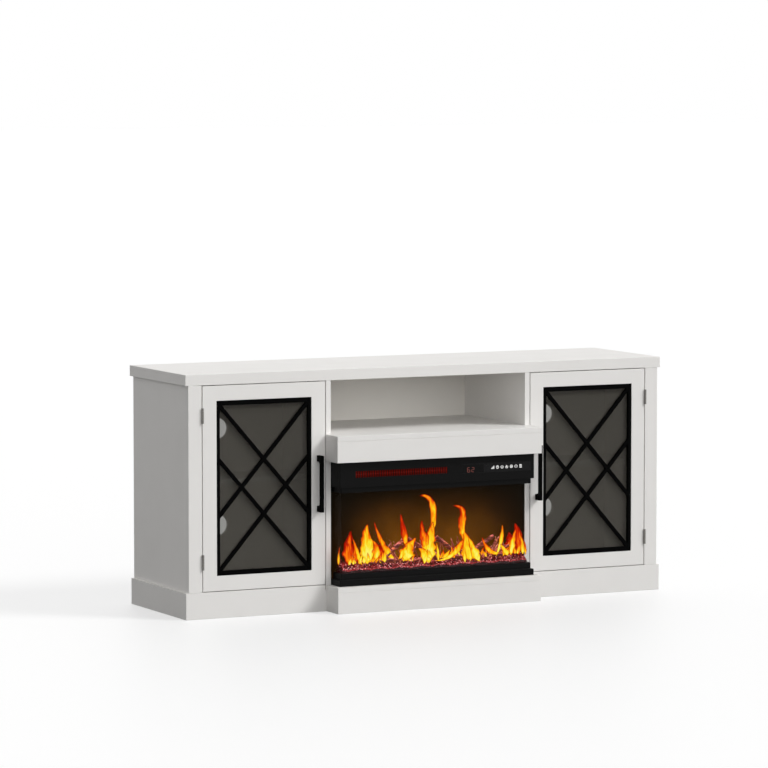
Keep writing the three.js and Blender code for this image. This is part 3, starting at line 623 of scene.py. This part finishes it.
# Smoked screen behind the flames: black, with a brown light that is strongest low in the middle
def litScreen(name, look):
    material, tree = newMaterial(name)
    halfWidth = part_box("flame_screen")[1].x
    place = addNode(tree, "TexCoord").outputs["Object"]
    axes = addNode(tree, "SeparateXYZ", {0: place})
    climb = {"Value": axes.outputs[2], "From Min": look["from"] * mm, "From Max": look["to"] * mm}
    upward = addNode(tree, "MapRange", {**climb, "To Min": 1, "To Max": 0}, interpolation_type="SMOOTHSTEP")
    aside = addNode(tree, "Math", {0: axes.outputs[0]}, operation="ABSOLUTE")
    inner = look["middle"] * mm
    fall = {"Value": aside, "From Min": inner, "From Max": halfWidth, "To Min": 1, "To Max": look["ends"]}
    sideways = addNode(tree, "MapRange", fall, interpolation_type="SMOOTHSTEP")
    smoke = addNode(tree, "TexNoise", {"Vector": place, "Scale": 1 / (look["cloud"] * mm), "Detail": 3})
    drift = {"Value": smoke, **softRange, "To Min": look["thick"], "To Max": look["clear"]}
    glow = addNode(tree, "Math", {0: upward, 1: sideways}, operation="MULTIPLY")
    light = addNode(tree, "Math", {0: glow, 1: addNode(tree, "MapRange", drift)}, operation="MULTIPLY")
    tones = {0: light, 6: srgb(look["dark"]), 7: srgb(look["glow"])}
    surface = addNode(tree, "BsdfPrincipled", {
        "Base Color": srgb(look["dark"]),
        "Roughness": look["roughness"],
        "Specular IOR Level": look["shine"],
        "Emission Color": addNode(tree, "Mix", tones, data_type="RGBA").outputs[2],
        "Emission Strength": 1,
    })
    addNode(tree, "OutputMaterial", {"Surface": surface})
    return material


smokedScreen = litScreen("smoked acrylic", {
    "dark": "080502",
    "shine": 0.02,
    "roughness": 0.4,
    "glow": "7a480e",
    "from": 140,
    "to": 415,
    "middle": 100,
    "ends": 0.05,
    "cloud": 90,
    "thick": 0.6,
    "clear": 1.2,
})  # firelight on dark acrylic, fading to black at the top and the ends
paint(smokedScreen, "flame_screen")


# Crystal: every stone has its own tone and its own share of light from the fire
def litCrystal(name, look):
    material, tree = newMaterial(name)
    place = addNode(tree, "TexCoord").outputs["Object"]
    tone = addNode(tree, "Attribute", attribute_name="tone").outputs["Fac"]
    facets = addNode(tree, "TexNoise", {"Vector": place, "Scale": 1 / (look["facet"] * mm)})
    surface = addNode(tree, "BsdfPrincipled", {
        "Base Color": addNode(tree, "ValToRGB", {0: tone}, look["tones"]),
        "Roughness": look["roughness"],
        "Specular IOR Level": look["shine"],
        "Normal": addNode(tree, "Bump", {"Height": facets, "Distance": look["depth"] * mm}),
        "Emission Color": addNode(tree, "ValToRGB", {0: tone}, look["glows"]),
        "Emission Strength": look["strength"],
    })
    addNode(tree, "OutputMaterial", {"Surface": surface})
    return material


emberCrystal = litCrystal("crushed red glass", {
    "tones": [(0.0, "24060a"), (0.35, "541014"), (0.7, "7c2430"), (1.0, "d890a0")],
    "glows": [(0.0, "1c0404"), (0.45, "641210"), (0.8, "a83430"), (1.0, "f0a8a0")],
    "strength": 0.95,
    "shine": 0.3,
    "roughness": 0.2,
    "facet": 2.5,
    "depth": 0.1,
})  # dark red and violet stones with a few that catch the light

# Stones in millimetres. Dent and sit are shares of a stone, and the front band is one of the bed's depth.
# Powers of chance crowd the stones to the front and to dark tones, but for a lighter row along the pane
bedLook = {
    "handfuls": 104,
    "inHandful": 50,
    "small": 1.5,
    "large": 3.2,
    "dent": 0.3,
    "sit": 0.35,
    "heap": 9,
    "climb": 2.5,
    "crowding": 1.3,
    "darkening": 2,
    "frontShare": 0.12,
    "frontBand": 0.012,
    "frontTone": 0.5,
    "toneSpread": 0.4,
    "above": 50,
    "seed": 7,
}
bedTree = BVHTree.FromBMesh(nodeShape("ember_bed"))
bedLow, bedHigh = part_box("ember_bed")


# How high the bed's top is at a place, found from well above it
def bedHeight(x, y):
    hit = bedTree.ray_cast(Vector((x, y, bedHigh.z + bedLook["above"] * mm)), Vector((0, 0, -1)))
    return hit[0].z if hit[0] else bedLow.z


# Stones with twenty faces, each turned, dented and toned by chance, strewn a handful at a time
def addCrystals():
    chance = random.Random(bedLook["seed"])
    dent = bedLook["dent"]
    mesh = bpy.data.meshes.new("ember_crystals")
    heap = bmesh.new()
    heap.verts.layers.float.new("tone")
    for _ in range(bedLook["handfuls"]):
        handful = bmesh.new()
        tones = handful.verts.layers.float.new("tone")
        for _ in range(bedLook["inHandful"]):
            size = chance.uniform(bedLook["small"], bedLook["large"]) * mm
            back = chance.random() ** bedLook["crowding"]
            tone = chance.random() ** bedLook["darkening"]
            if chance.random() < bedLook["frontShare"]:
                back = bedLook["frontBand"] * chance.random()
                tone = bedLook["frontTone"] + bedLook["toneSpread"] * tone
            x = chance.uniform(bedLow.x + size, bedHigh.x - size)
            y = bedLow.y + size + (bedHigh.y - bedLow.y - 2 * size) * back
            heaped = bedLook["heap"] * mm * min(1, bedLook["climb"] * back)
            lift = size * bedLook["sit"] + heaped * chance.random()
            axis = Vector((chance.random(), chance.random(), 1))
            turn = Matrix.Rotation(chance.uniform(0, math.tau), 4, axis)
            place = Matrix.Translation((x, y, bedHeight(x, y) + lift))
            stone = bmesh.ops.create_icosphere(handful, subdivisions=1, radius=size, matrix=place @ turn)
            for vert in stone["verts"]:
                vert[tones] = tone
                vert.co += Vector([chance.uniform(-dent, dent) * size for _ in range(3)])
        handful.to_mesh(mesh)
        handful.free()
        heap.from_mesh(mesh)
    heap.to_mesh(mesh)
    heap.free()
    placePiece("ember_crystals", mesh, emberCrystal, "cabinet")


addCrystals()
paint(emberCrystal, "ember_bed")
print("crystals done")


# Where the noises turn to cracks and to ridges, and how far up a side faces to be lit
woodRanges = {"crack": (0.5, 0.68), "ridge": (0.42, 0.56), "top": (-0.1, 0.9)}


# Charred wood: rough dark bark, rose light on its upper sides and red light in its cracks
def charredWood(name, look):
    material, tree = newMaterial(name)
    ranges = {part: {"From Min": low, "From Max": high} for part, (low, high) in woodRanges.items()}
    place = addNode(tree, "TexCoord").outputs["Object"]
    along = addNode(tree, "Mapping", {"Vector": place, "Scale": look["stretch"]})
    bark = addNode(tree, "TexNoise", {"Vector": along, "Scale": 1 / (look["bark"] * mm), "Detail": 4})
    split = addNode(tree, "TexNoise", {"Vector": along, "Scale": 1 / (look["crack"] * mm), "Detail": 5})
    crack = addNode(tree, "MapRange", {"Value": split, **ranges["crack"]})
    ridge = addNode(tree, "MapRange", {"Value": bark, **ranges["ridge"]})
    # Painted light: the sides that face up glow rose along the ridges
    normal = addNode(tree, "NewGeometry").outputs["Normal"]
    up = addNode(tree, "SeparateXYZ", {0: normal}).outputs[2]
    top = addNode(tree, "MapRange", {"Value": up, **ranges["top"]})
    lit = addNode(tree, "Math", {0: top, 1: ridge}, operation="MULTIPLY")
    woods = {0: bark, 6: srgb(look["char"]), 7: srgb(look["wood"])}
    roses = {0: lit, 6: srgb(look["ember"]), 7: srgb(look["rose"])}
    rose = addNode(tree, "Mix", roses, data_type="RGBA").outputs[2]
    glow = addNode(tree, "Mix", {0: crack, 6: rose, 7: srgb(look["hot"])}, data_type="RGBA").outputs[2]
    burns = {0: lit, 1: look["strength"], 2: look["least"]}
    surface = addNode(tree, "BsdfPrincipled", {
        "Base Color": addNode(tree, "Mix", woods, data_type="RGBA").outputs[2],
        "Roughness": look["roughness"],
        "Normal": addNode(tree, "Bump", {"Height": bark, "Distance": look["depth"] * mm}),
        "Emission Color": glow,
        "Emission Strength": addNode(tree, "Math", burns, operation="MULTIPLY_ADD"),
    })
    addNode(tree, "OutputMaterial", {"Surface": surface})
    return material


charredLog = charredWood("charred wood", {
    "char": "140807",
    "wood": "6a2824",
    "ember": "5a100a",
    "rose": "ff8880",
    "hot": "ff8050",
    "bark": 7,
    "crack": 9,
    "stretch": (0.25, 1, 1),
    "roughness": 0.85,
    "depth": 1.0,
    "strength": 1.0,
    "least": 0.35,
})  # dark logs, their upper ridges painted with rose-red light

hotKindling = charredWood("glowing kindling", {
    "char": "1a0807",
    "wood": "7a2c24",
    "ember": "8c1c12",
    "rose": "ffa898",
    "hot": "ff9060",
    "bark": 4,
    "crack": 6,
    "stretch": (1, 1, 0.3),
    "roughness": 0.85,
    "depth": 0.5,
    "strength": 1.1,
    "least": 0.35,
})  # thin sticks that glow through, redder than the logs

# In millimetres. The noise's layers: how fast they fade, how much finer each one is, and how many
logLook = {"cell": 2.0, "rough": 1.6, "grain": 9, "sink": 1.2, "layers": (1.0, 2.0, 3)}


# The logs again in small even cells, their bark pushed in and out along the normals
def addLogs():
    smoothMesh = bpy.data.meshes.new("logs_smooth")
    shape = nodeShape("log_set")
    shape.to_mesh(smoothMesh)
    shape.free()
    smooth = bpy.data.objects.new("logs_smooth", smoothMesh)
    scene.collection.objects.link(smooth)
    cells = smooth.modifiers.new("cells", "REMESH")
    cells.mode = "VOXEL"
    cells.voxel_size = logLook["cell"] * mm
    evaluated = smooth.evaluated_get(bpy.context.evaluated_depsgraph_get())
    rough = bpy.data.meshes.new_from_object(evaluated)
    rough.name = "logs_charred"
    bpy.data.objects.remove(smooth)
    bpy.data.meshes.remove(smoothMesh)
    normals = [vert.normal.copy() for vert in rough.vertices]
    for vert, normal in zip(rough.vertices, normals):
        wave = noise.fractal(vert.co / (logLook["grain"] * mm), *logLook["layers"])
        vert.co += normal * (wave * logLook["rough"] - logLook["sink"]) * mm
    placePiece("logs_charred", rough, charredLog, "cabinet", ["log_set"])


addLogs()


# A place on the smooth curve that starts at the first point and ends at the last
def pathAt(points, rise):
    while len(points) > 1:
        points = [near.lerp(far, rise) for near, far in zip(points, points[1:])]
    return points[0]


pathStep = 0.01  # share of a path over which its direction is taken


# A ball drawn out along a path in millimetres. It keeps how far up and how near its middle a point is
def drawOut(path, halfAt, around, rings, flatness, origin):
    shape = bmesh.new()
    core = shape.verts.layers.float.new("core")
    upward = shape.verts.layers.float.new("rise")
    ball = bmesh.ops.create_uvsphere(shape, u_segments=around, v_segments=rings, radius=1)
    for vert in ball["verts"]:
        rise = 1 - math.acos(max(-1, min(1, vert.co.z))) / math.pi
        spoke = vert.co.xy.normalized()
        place = pathAt(path, rise)
        along = (pathAt(path, rise + pathStep) - pathAt(path, rise - pathStep)).normalized()
        side = Vector((along.z * spoke.x, flatness * spoke.y, -along.x * spoke.x))
        vert.co = (place + side * halfAt(rise, place, spoke.x)) * mm + origin
        vert[core] = abs(spoke.y)
        vert[upward] = rise
    bmesh.ops.recalc_face_normals(shape, faces=shape.faces)
    for face in shape.faces:
        face.smooth = True
    return shape


# Sticks in millimetres. Their knots come from a noise, with a patch of it for each stick
kindlingLook = {
    "count": 40,
    "thin": 2.0,
    "thick": 4.2,
    "tall": (45, 84),
    "lean": 58,
    "kink": 5,
    "inset": 4,
    "sunk": 3,
    "knots": 9,
    "patch": 5.1,
    "knotty": 0.5,
    "blunt": 9,
    "taper": 0.4,
    "around": 8,
    "rings": 12,
    "seed": 11,
}


# Thin charred sticks that stand in the crystals and lean across the logs
def addKindling():
    chance = random.Random(kindlingLook["seed"])
    mesh = bpy.data.meshes.new("kindling")
    heap = bmesh.new()
    low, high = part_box("log_set")
    inset, kink = kindlingLook["inset"], kindlingLook["kink"]
    blunt, knotty, taper = kindlingLook["blunt"], kindlingLook["knotty"], kindlingLook["taper"]
    reach = bedHigh.x / mm - kindlingLook["lean"] - kindlingLook["thick"]
    for number in range(kindlingLook["count"]):
        half = chance.uniform(kindlingLook["thin"], kindlingLook["thick"])
        x = chance.uniform(-reach, reach)
        y = chance.uniform(low.y / mm + inset, high.y / mm - inset)
        z = bedHeight(x * mm, y * mm) / mm - kindlingLook["sunk"]
        tall = chance.uniform(*kindlingLook["tall"])
        lean = chance.uniform(-1, 1) * kindlingLook["lean"]
        elbow = Vector((x + lean / 2 + chance.uniform(-kink, kink), y, z + tall / 2))
        path = [Vector((x, y, z)), elbow, Vector((x + lean, y + inset, z + tall))]

        def halfAt(rise, place, across):
            spot = Vector((number * kindlingLook["patch"], rise * kindlingLook["knots"], across))
            ends = min(1, blunt * rise, blunt * (1 - rise)) ** 0.5
            return half * ends * (1 + knotty * noise.noise(spot)) * (1 - taper * rise)

        stick = drawOut(path, halfAt, kindlingLook["around"], kindlingLook["rings"], 1, Vector())
        stick.to_mesh(mesh)
        stick.free()
        heap.from_mesh(mesh)
    heap.to_mesh(mesh)
    heap.free()
    placePiece("kindling", mesh, hotKindling, "cabinet")


addKindling()
print("logs done")


# Flame: pale yellow in its middle, then orange, then red at the edge and the tip, where it thins out
def flameLight(name, look):
    material, tree = newMaterial(name)
    place = addNode(tree, "TexCoord").outputs["Object"]
    core = addNode(tree, "Attribute", attribute_name="core").outputs["Fac"]
    rise = addNode(tree, "Attribute", attribute_name="rise").outputs["Fac"]
    warmth = addNode(tree, "Attribute", attribute_name="warmth").outputs["Fac"]
    upright = addNode(tree, "Mapping", {"Vector": place, "Scale": look["stretch"]})
    curls = {"Vector": upright, "Scale": 1 / (look["lick"] * mm), "Detail": 3, "Distortion": look["swirl"]}
    swirls = addNode(tree, "TexNoise", curls)
    wave = {"Value": swirls, **noiseRange, "To Min": -look["curl"], "To Max": look["curl"]}
    lick = addNode(tree, "MapRange", wave, interpolation_type="SMOOTHSTEP")
    foot = {"Value": rise, "From Min": 0, "From Max": look["foot"], "To Min": -look["fade"], "To Max": 0}
    root = addNode(tree, "MapRange", foot)
    steep = addNode(tree, "Math", {0: rise, 1: look["late"]}, operation="POWER")
    chill = addNode(tree, "Math", {0: steep, 1: -look["cooling"], 2: warmth}, operation="MULTIPLY_ADD")
    inner = addNode(tree, "Math", {0: core, 1: look["contrast"], 2: chill}, operation="MULTIPLY_ADD")
    rooted = addNode(tree, "Math", {0: inner, 1: root}, operation="ADD")
    heat = addNode(tree, "Math", {0: lick, 1: look["stir"], 2: rooted}, operation="MULTIPLY_ADD")
    held = addNode(tree, "Math", {0: core, 1: root}, operation="ADD")
    edge = addNode(tree, "Math", {0: lick, 1: look["ragged"], 2: held}, operation="MULTIPLY_ADD")
    thins = {"Value": edge, "From Min": look["thin"], "From Max": look["full"]}
    body = addNode(tree, "MapRange", thins, interpolation_type="SMOOTHSTEP")
    colour = addNode(tree, "ValToRGB", {0: heat}, look["colours"])
    glow = addNode(tree, "Emission", {"Color": colour, "Strength": look["strength"]})
    mixed = addNode(tree, "MixShader", {0: body, 1: addNode(tree, "BsdfTransparent"), 2: glow})
    addNode(tree, "OutputMaterial", {"Surface": mixed})
    return material


flameGlow = flameLight("flame light", {
    "colours": [
        (0.0, "981004"),
        (0.2, "e03006"),
        (0.4, "ff800c"),
        (0.58, "ffbe12"),
        (0.8, "ffe52c"),
        (1.0, "fff46c"),
    ],
    "lick": 12,
    "stretch": (1, 1, 0.3),
    "swirl": 0.8,
    "curl": 0.5,
    "contrast": 0.85,
    "cooling": 0.62,
    "late": 1.6,
    "stir": 0.38,
    "ragged": 0.45,
    "foot": 0.16,
    "fade": 0.55,
    "thin": 0.12,
    "full": 0.62,
    "strength": 1.05,
})  # bright tongues with soft, ragged edges

# Tongues waver by a noise, its waves in millimetres, with a patch of it for each tongue and each side
flameLook = {
    "around": 16,
    "rings": 22,
    "flatness": 0.18,
    "plump": 0.75,
    "waver": 0.4,
    "wave": 13,
    "patch": 7.3,
    "sidePatch": 3.1,
}

# Each tongue in millimetres: half width, the share of its height where it is widest, depth behind the
# front pane, warmth, and the points that its path bends by, along the fire and above the sill
tongues = [
    (5, 0.3, 40, 0.0, [(-343, 20), (-346, 50), (-340, 86)]),
    (22, 0.4, 19, -0.3, [(-318, 22), (-323, 80), (-308, 141)]),
    (9, 0.4, 14, 0.1, [(-270, 20), (-285, 60), (-305, 116)]),
    (31, 0.35, 16, 0.2, [(-256, 22), (-232, 70), (-268, 110), (-248, 160)]),
    (17, 0.4, 10, 0.0, [(-222, 34), (-214, 75), (-231, 104)]),
    (12, 0.3, 22, -0.05, [(-138, 22), (-180, 60), (-205, 110), (-222, 167)]),
    (30, 0.3, 10, 0.15, [(-100, 28), (-118, 60), (-71, 106)]),
    (12, 0.5, 7, 0.1, [(-134, 36), (-120, 60), (-105, 82)]),
    (14, 0.35, 28, -0.25, [(-98, 70), (-108, 130), (-121, 187)]),
    (29, 0.45, 17, 0.15, [(-22, 10), (-24, 60), (-4, 158)]),
    (13, 0.7, 19, 0.1, [(-22, 40), (-30, 100), (20, 130), (14, 266), (-58, 242)]),
    (18, 0.3, 14, -0.2, [(-26, 62), (-48, 110), (-48, 163)]),
    (7, 0.3, 10, 0.1, [(12, 20), (12, 50), (5, 85)]),
    (16, 0.5, 7, 0.18, [(-45, 14), (-28, 50), (-65, 70)]),
    (12, 0.75, 7, 0.12, [(-8, 24), (70, 20), (85, 65), (105, 89)]),
    (9, 0.4, 9, 0.1, [(31, 20), (40, 40), (56, 58)]),
    (16, 0.65, 18, -0.05, [(136, 30), (140, 80), (66, 110), (105, 150), (142, 204), (68, 205)]),
    (31, 0.3, 17, 0.1, [(134, 12), (132, 60), (110, 118)]),
    (17, 0.4, 8, 0.18, [(168, 10), (148, 45), (123, 98)]),
    (7, 0.4, 7, 0.15, [(111, 8), (112, 36), (105, 68)]),
    (11, 0.5, 8, 0.0, [(246, 38), (198, 28), (175, 96)]),
    (9, 0.55, 12, 0.15, [(230, 22), (258, 80), (255, 133)]),
    (10, 0.3, 7, 0.15, [(275, 26), (262, 45), (244, 68)]),
    (12, 0.4, 8, 0.1, [(284, 24), (290, 70), (306, 120)]),
    (20, 0.45, 20, -0.3, [(322, 22), (326, 80), (307, 134)]),
    (9, 0.3, 26, -0.3, [(327, 76), (330, 100), (324, 121)]),
    (10, 0.3, 10, 0.1, [(333, 26), (332, 60), (323, 93)]),
    (6, 0.3, 8, -0.1, [(342, 24), (343, 50), (336, 76)]),
    (30, 0.3, 30, -0.3, [(-300, 22), (-296, 60), (-288, 96)]),
    (26, 0.3, 30, -0.3, [(-190, 24), (-196, 50), (-200, 88)]),
    (30, 0.3, 30, -0.3, [(292, 22), (298, 60), (290, 104)]),
]


# Small licks low along the bed, in the same terms, with what chance may choose from
lickLook = {
    "count": 60,
    "place": (-322, 322),
    "foot": (24, 34),
    "tall": (14, 40),
    "half": (3, 8),
    "depth": (7, 26),
    "warmth": (-0.25, 0.25),
    "lean": (-14, 14),
    "belly": 0.3,
    "seed": 5,
}


def lowLicks():
    chance = random.Random(lickLook["seed"])
    for _ in range(lickLook["count"]):
        place, foot, tall = (chance.uniform(*lickLook[name]) for name in ("place", "foot", "tall"))
        half, depth, warmth = (chance.uniform(*lickLook[name]) for name in ("half", "depth", "warmth"))
        path = [(place, foot), (place + chance.uniform(*lickLook["lean"]), foot + tall)]
        yield half, lickLook["belly"], depth, warmth, path


# Tongues drawn out along their paths, flat and with wavering edges, one after the other
def addFlames():
    mesh = bpy.data.meshes.new("flame_tongues")
    fire = bmesh.new()
    for name in ("core", "rise", "warmth"):
        fire.verts.layers.float.new(name)
    origin = Vector((0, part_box("front_pane")[1].y, bedLow.z))
    around, rings = flameLook["around"], flameLook["rings"]
    for number, (half, belly, depth, warmth, bends) in enumerate(tongues + list(lowLicks())):

        def halfAt(rise, place, across):
            patch = number * flameLook["patch"] + math.copysign(flameLook["sidePatch"], across)
            swell = min(rise / belly, (1 - rise) / (1 - belly)) ** flameLook["plump"]
            waver = flameLook["waver"] * noise.noise(Vector((patch, place.z / flameLook["wave"], 0)))
            return half * swell * (1 + waver)

        path = [Vector((x, depth, z)) for x, z in bends]
        tongue = drawOut(path, halfAt, around, rings, flameLook["flatness"], origin)
        warm = tongue.verts.layers.float.new("warmth")
        for vert in tongue.verts:
            vert[warm] = warmth
        tongue.to_mesh(mesh)
        tongue.free()
        fire.from_mesh(mesh)
    fire.to_mesh(mesh)
    fire.free()
    placePiece("flame_tongues", mesh, flameGlow, "cabinet")


addFlames()
print("flames done")

# Floor and light, which aren't part of the object. The floor keeps a soft shadow and a blurred reflection
stageLook = {
    "reach": 60,
    "own": 0.52,
    "mirror": 0.26,
    "blur": 0.5,
    "dull": 0.25,
    "bounce": 0.1,
    "sky": 0.465,
    "front": 2.2,
    "behind": 1.2,
    "bandFrom": 0.65,
    "bandFull": 0.97,
    "bandLow": 0.2,
    "bandHigh": 0.45,
    "sun": 1.9,
    "soft": 19,
    "toward": (0.6, -0.5, 0.62),
}


# One for rays that show the floor or the sky directly, in a mirror or through glass, else nought
def seenRay(tree):
    path = addNode(tree, "LightPath")
    rays = {0: path.outputs["Is Camera Ray"], 1: path.outputs["Is Glossy Ray"]}
    seen = addNode(tree, "Math", rays, operation="MAXIMUM")
    return addNode(tree, "Math", {0: seen, 1: path.outputs["Is Transmission Ray"]}, operation="MAXIMUM")


def addFloor():
    shape = bmesh.new()
    bmesh.ops.create_grid(shape, x_segments=1, y_segments=1, size=stageLook["reach"])
    mesh = bpy.data.meshes.new("floor")
    shape.to_mesh(mesh)
    shape.free()
    material, tree = newMaterial("pale floor")
    greys = {name: (stageLook[name],) * 3 + (1,) for name in ("mirror", "dull", "bounce")}
    own = addNode(tree, "Emission", {"Strength": stageLook["own"]})
    mirror = addNode(tree, "BsdfAnisotropic", {"Color": greys["mirror"], "Roughness": stageLook["blur"]})
    dull = addNode(tree, "BsdfDiffuse", {"Color": greys["dull"]})
    looks = addNode(tree, "AddShader", {0: addNode(tree, "AddShader", {0: own, 1: mirror}), 1: dull})
    bounce = addNode(tree, "BsdfDiffuse", {"Color": greys["bounce"]})
    mixed = addNode(tree, "MixShader", {0: seenRay(tree), 1: bounce, 2: looks})
    addNode(tree, "OutputMaterial", {"Surface": mixed})
    mesh.materials.append(material)
    floor = bpy.data.objects.new("floor", mesh)
    scene.collection.objects.link(floor)


def addSun():
    sun = bpy.data.lights.new("key", "SUN")
    sun.energy = stageLook["sun"]
    sun.angle = math.radians(stageLook["soft"])
    lamp = bpy.data.objects.new("key", sun)
    lamp.rotation_euler = Vector(stageLook["toward"]).to_track_quat("Z", "Y").to_euler()
    scene.collection.objects.link(lamp)


# An even sky with brighter bands low in front and behind, seen as plain white
def addSky():
    world = bpy.data.worlds.new("studio")
    scene.world = world
    world.use_nodes = True
    tree = world.node_tree
    tree.nodes.clear()
    toward = addNode(tree, "SeparateXYZ", {0: addNode(tree, "TexCoord").outputs["Generated"]})
    start, full = stageLook["bandFrom"], stageLook["bandFull"]
    ahead = {"From Min": -full, "From Max": -start, "To Min": stageLook["front"], "To Max": 0}
    astern = {"From Min": start, "From Max": full, "To Min": 0, "To Max": stageLook["behind"]}
    band = {
        0: addNode(tree, "MapRange", {"Value": toward.outputs[1], **ahead}),
        1: addNode(tree, "MapRange", {"Value": toward.outputs[1], **astern}),
    }
    bands = addNode(tree, "Math", band, operation="ADD")
    height = {"From Min": stageLook["bandLow"], "From Max": stageLook["bandHigh"], "To Min": 1, "To Max": 0}
    low = addNode(tree, "MapRange", {"Value": toward.outputs[2], **height})
    lit = addNode(tree, "Math", {0: bands, 1: low, 2: stageLook["sky"]}, operation="MULTIPLY_ADD")
    strength = addNode(tree, "Mix", {0: seenRay(tree), 2: lit, 3: 1.0})
    sky = addNode(tree, "Background", {"Color": (1, 1, 1, 1), "Strength": strength})
    addNode(tree, "OutputWorld", {"Surface": sky})


addFloor()
addSun()
addSky()
print("stage done")
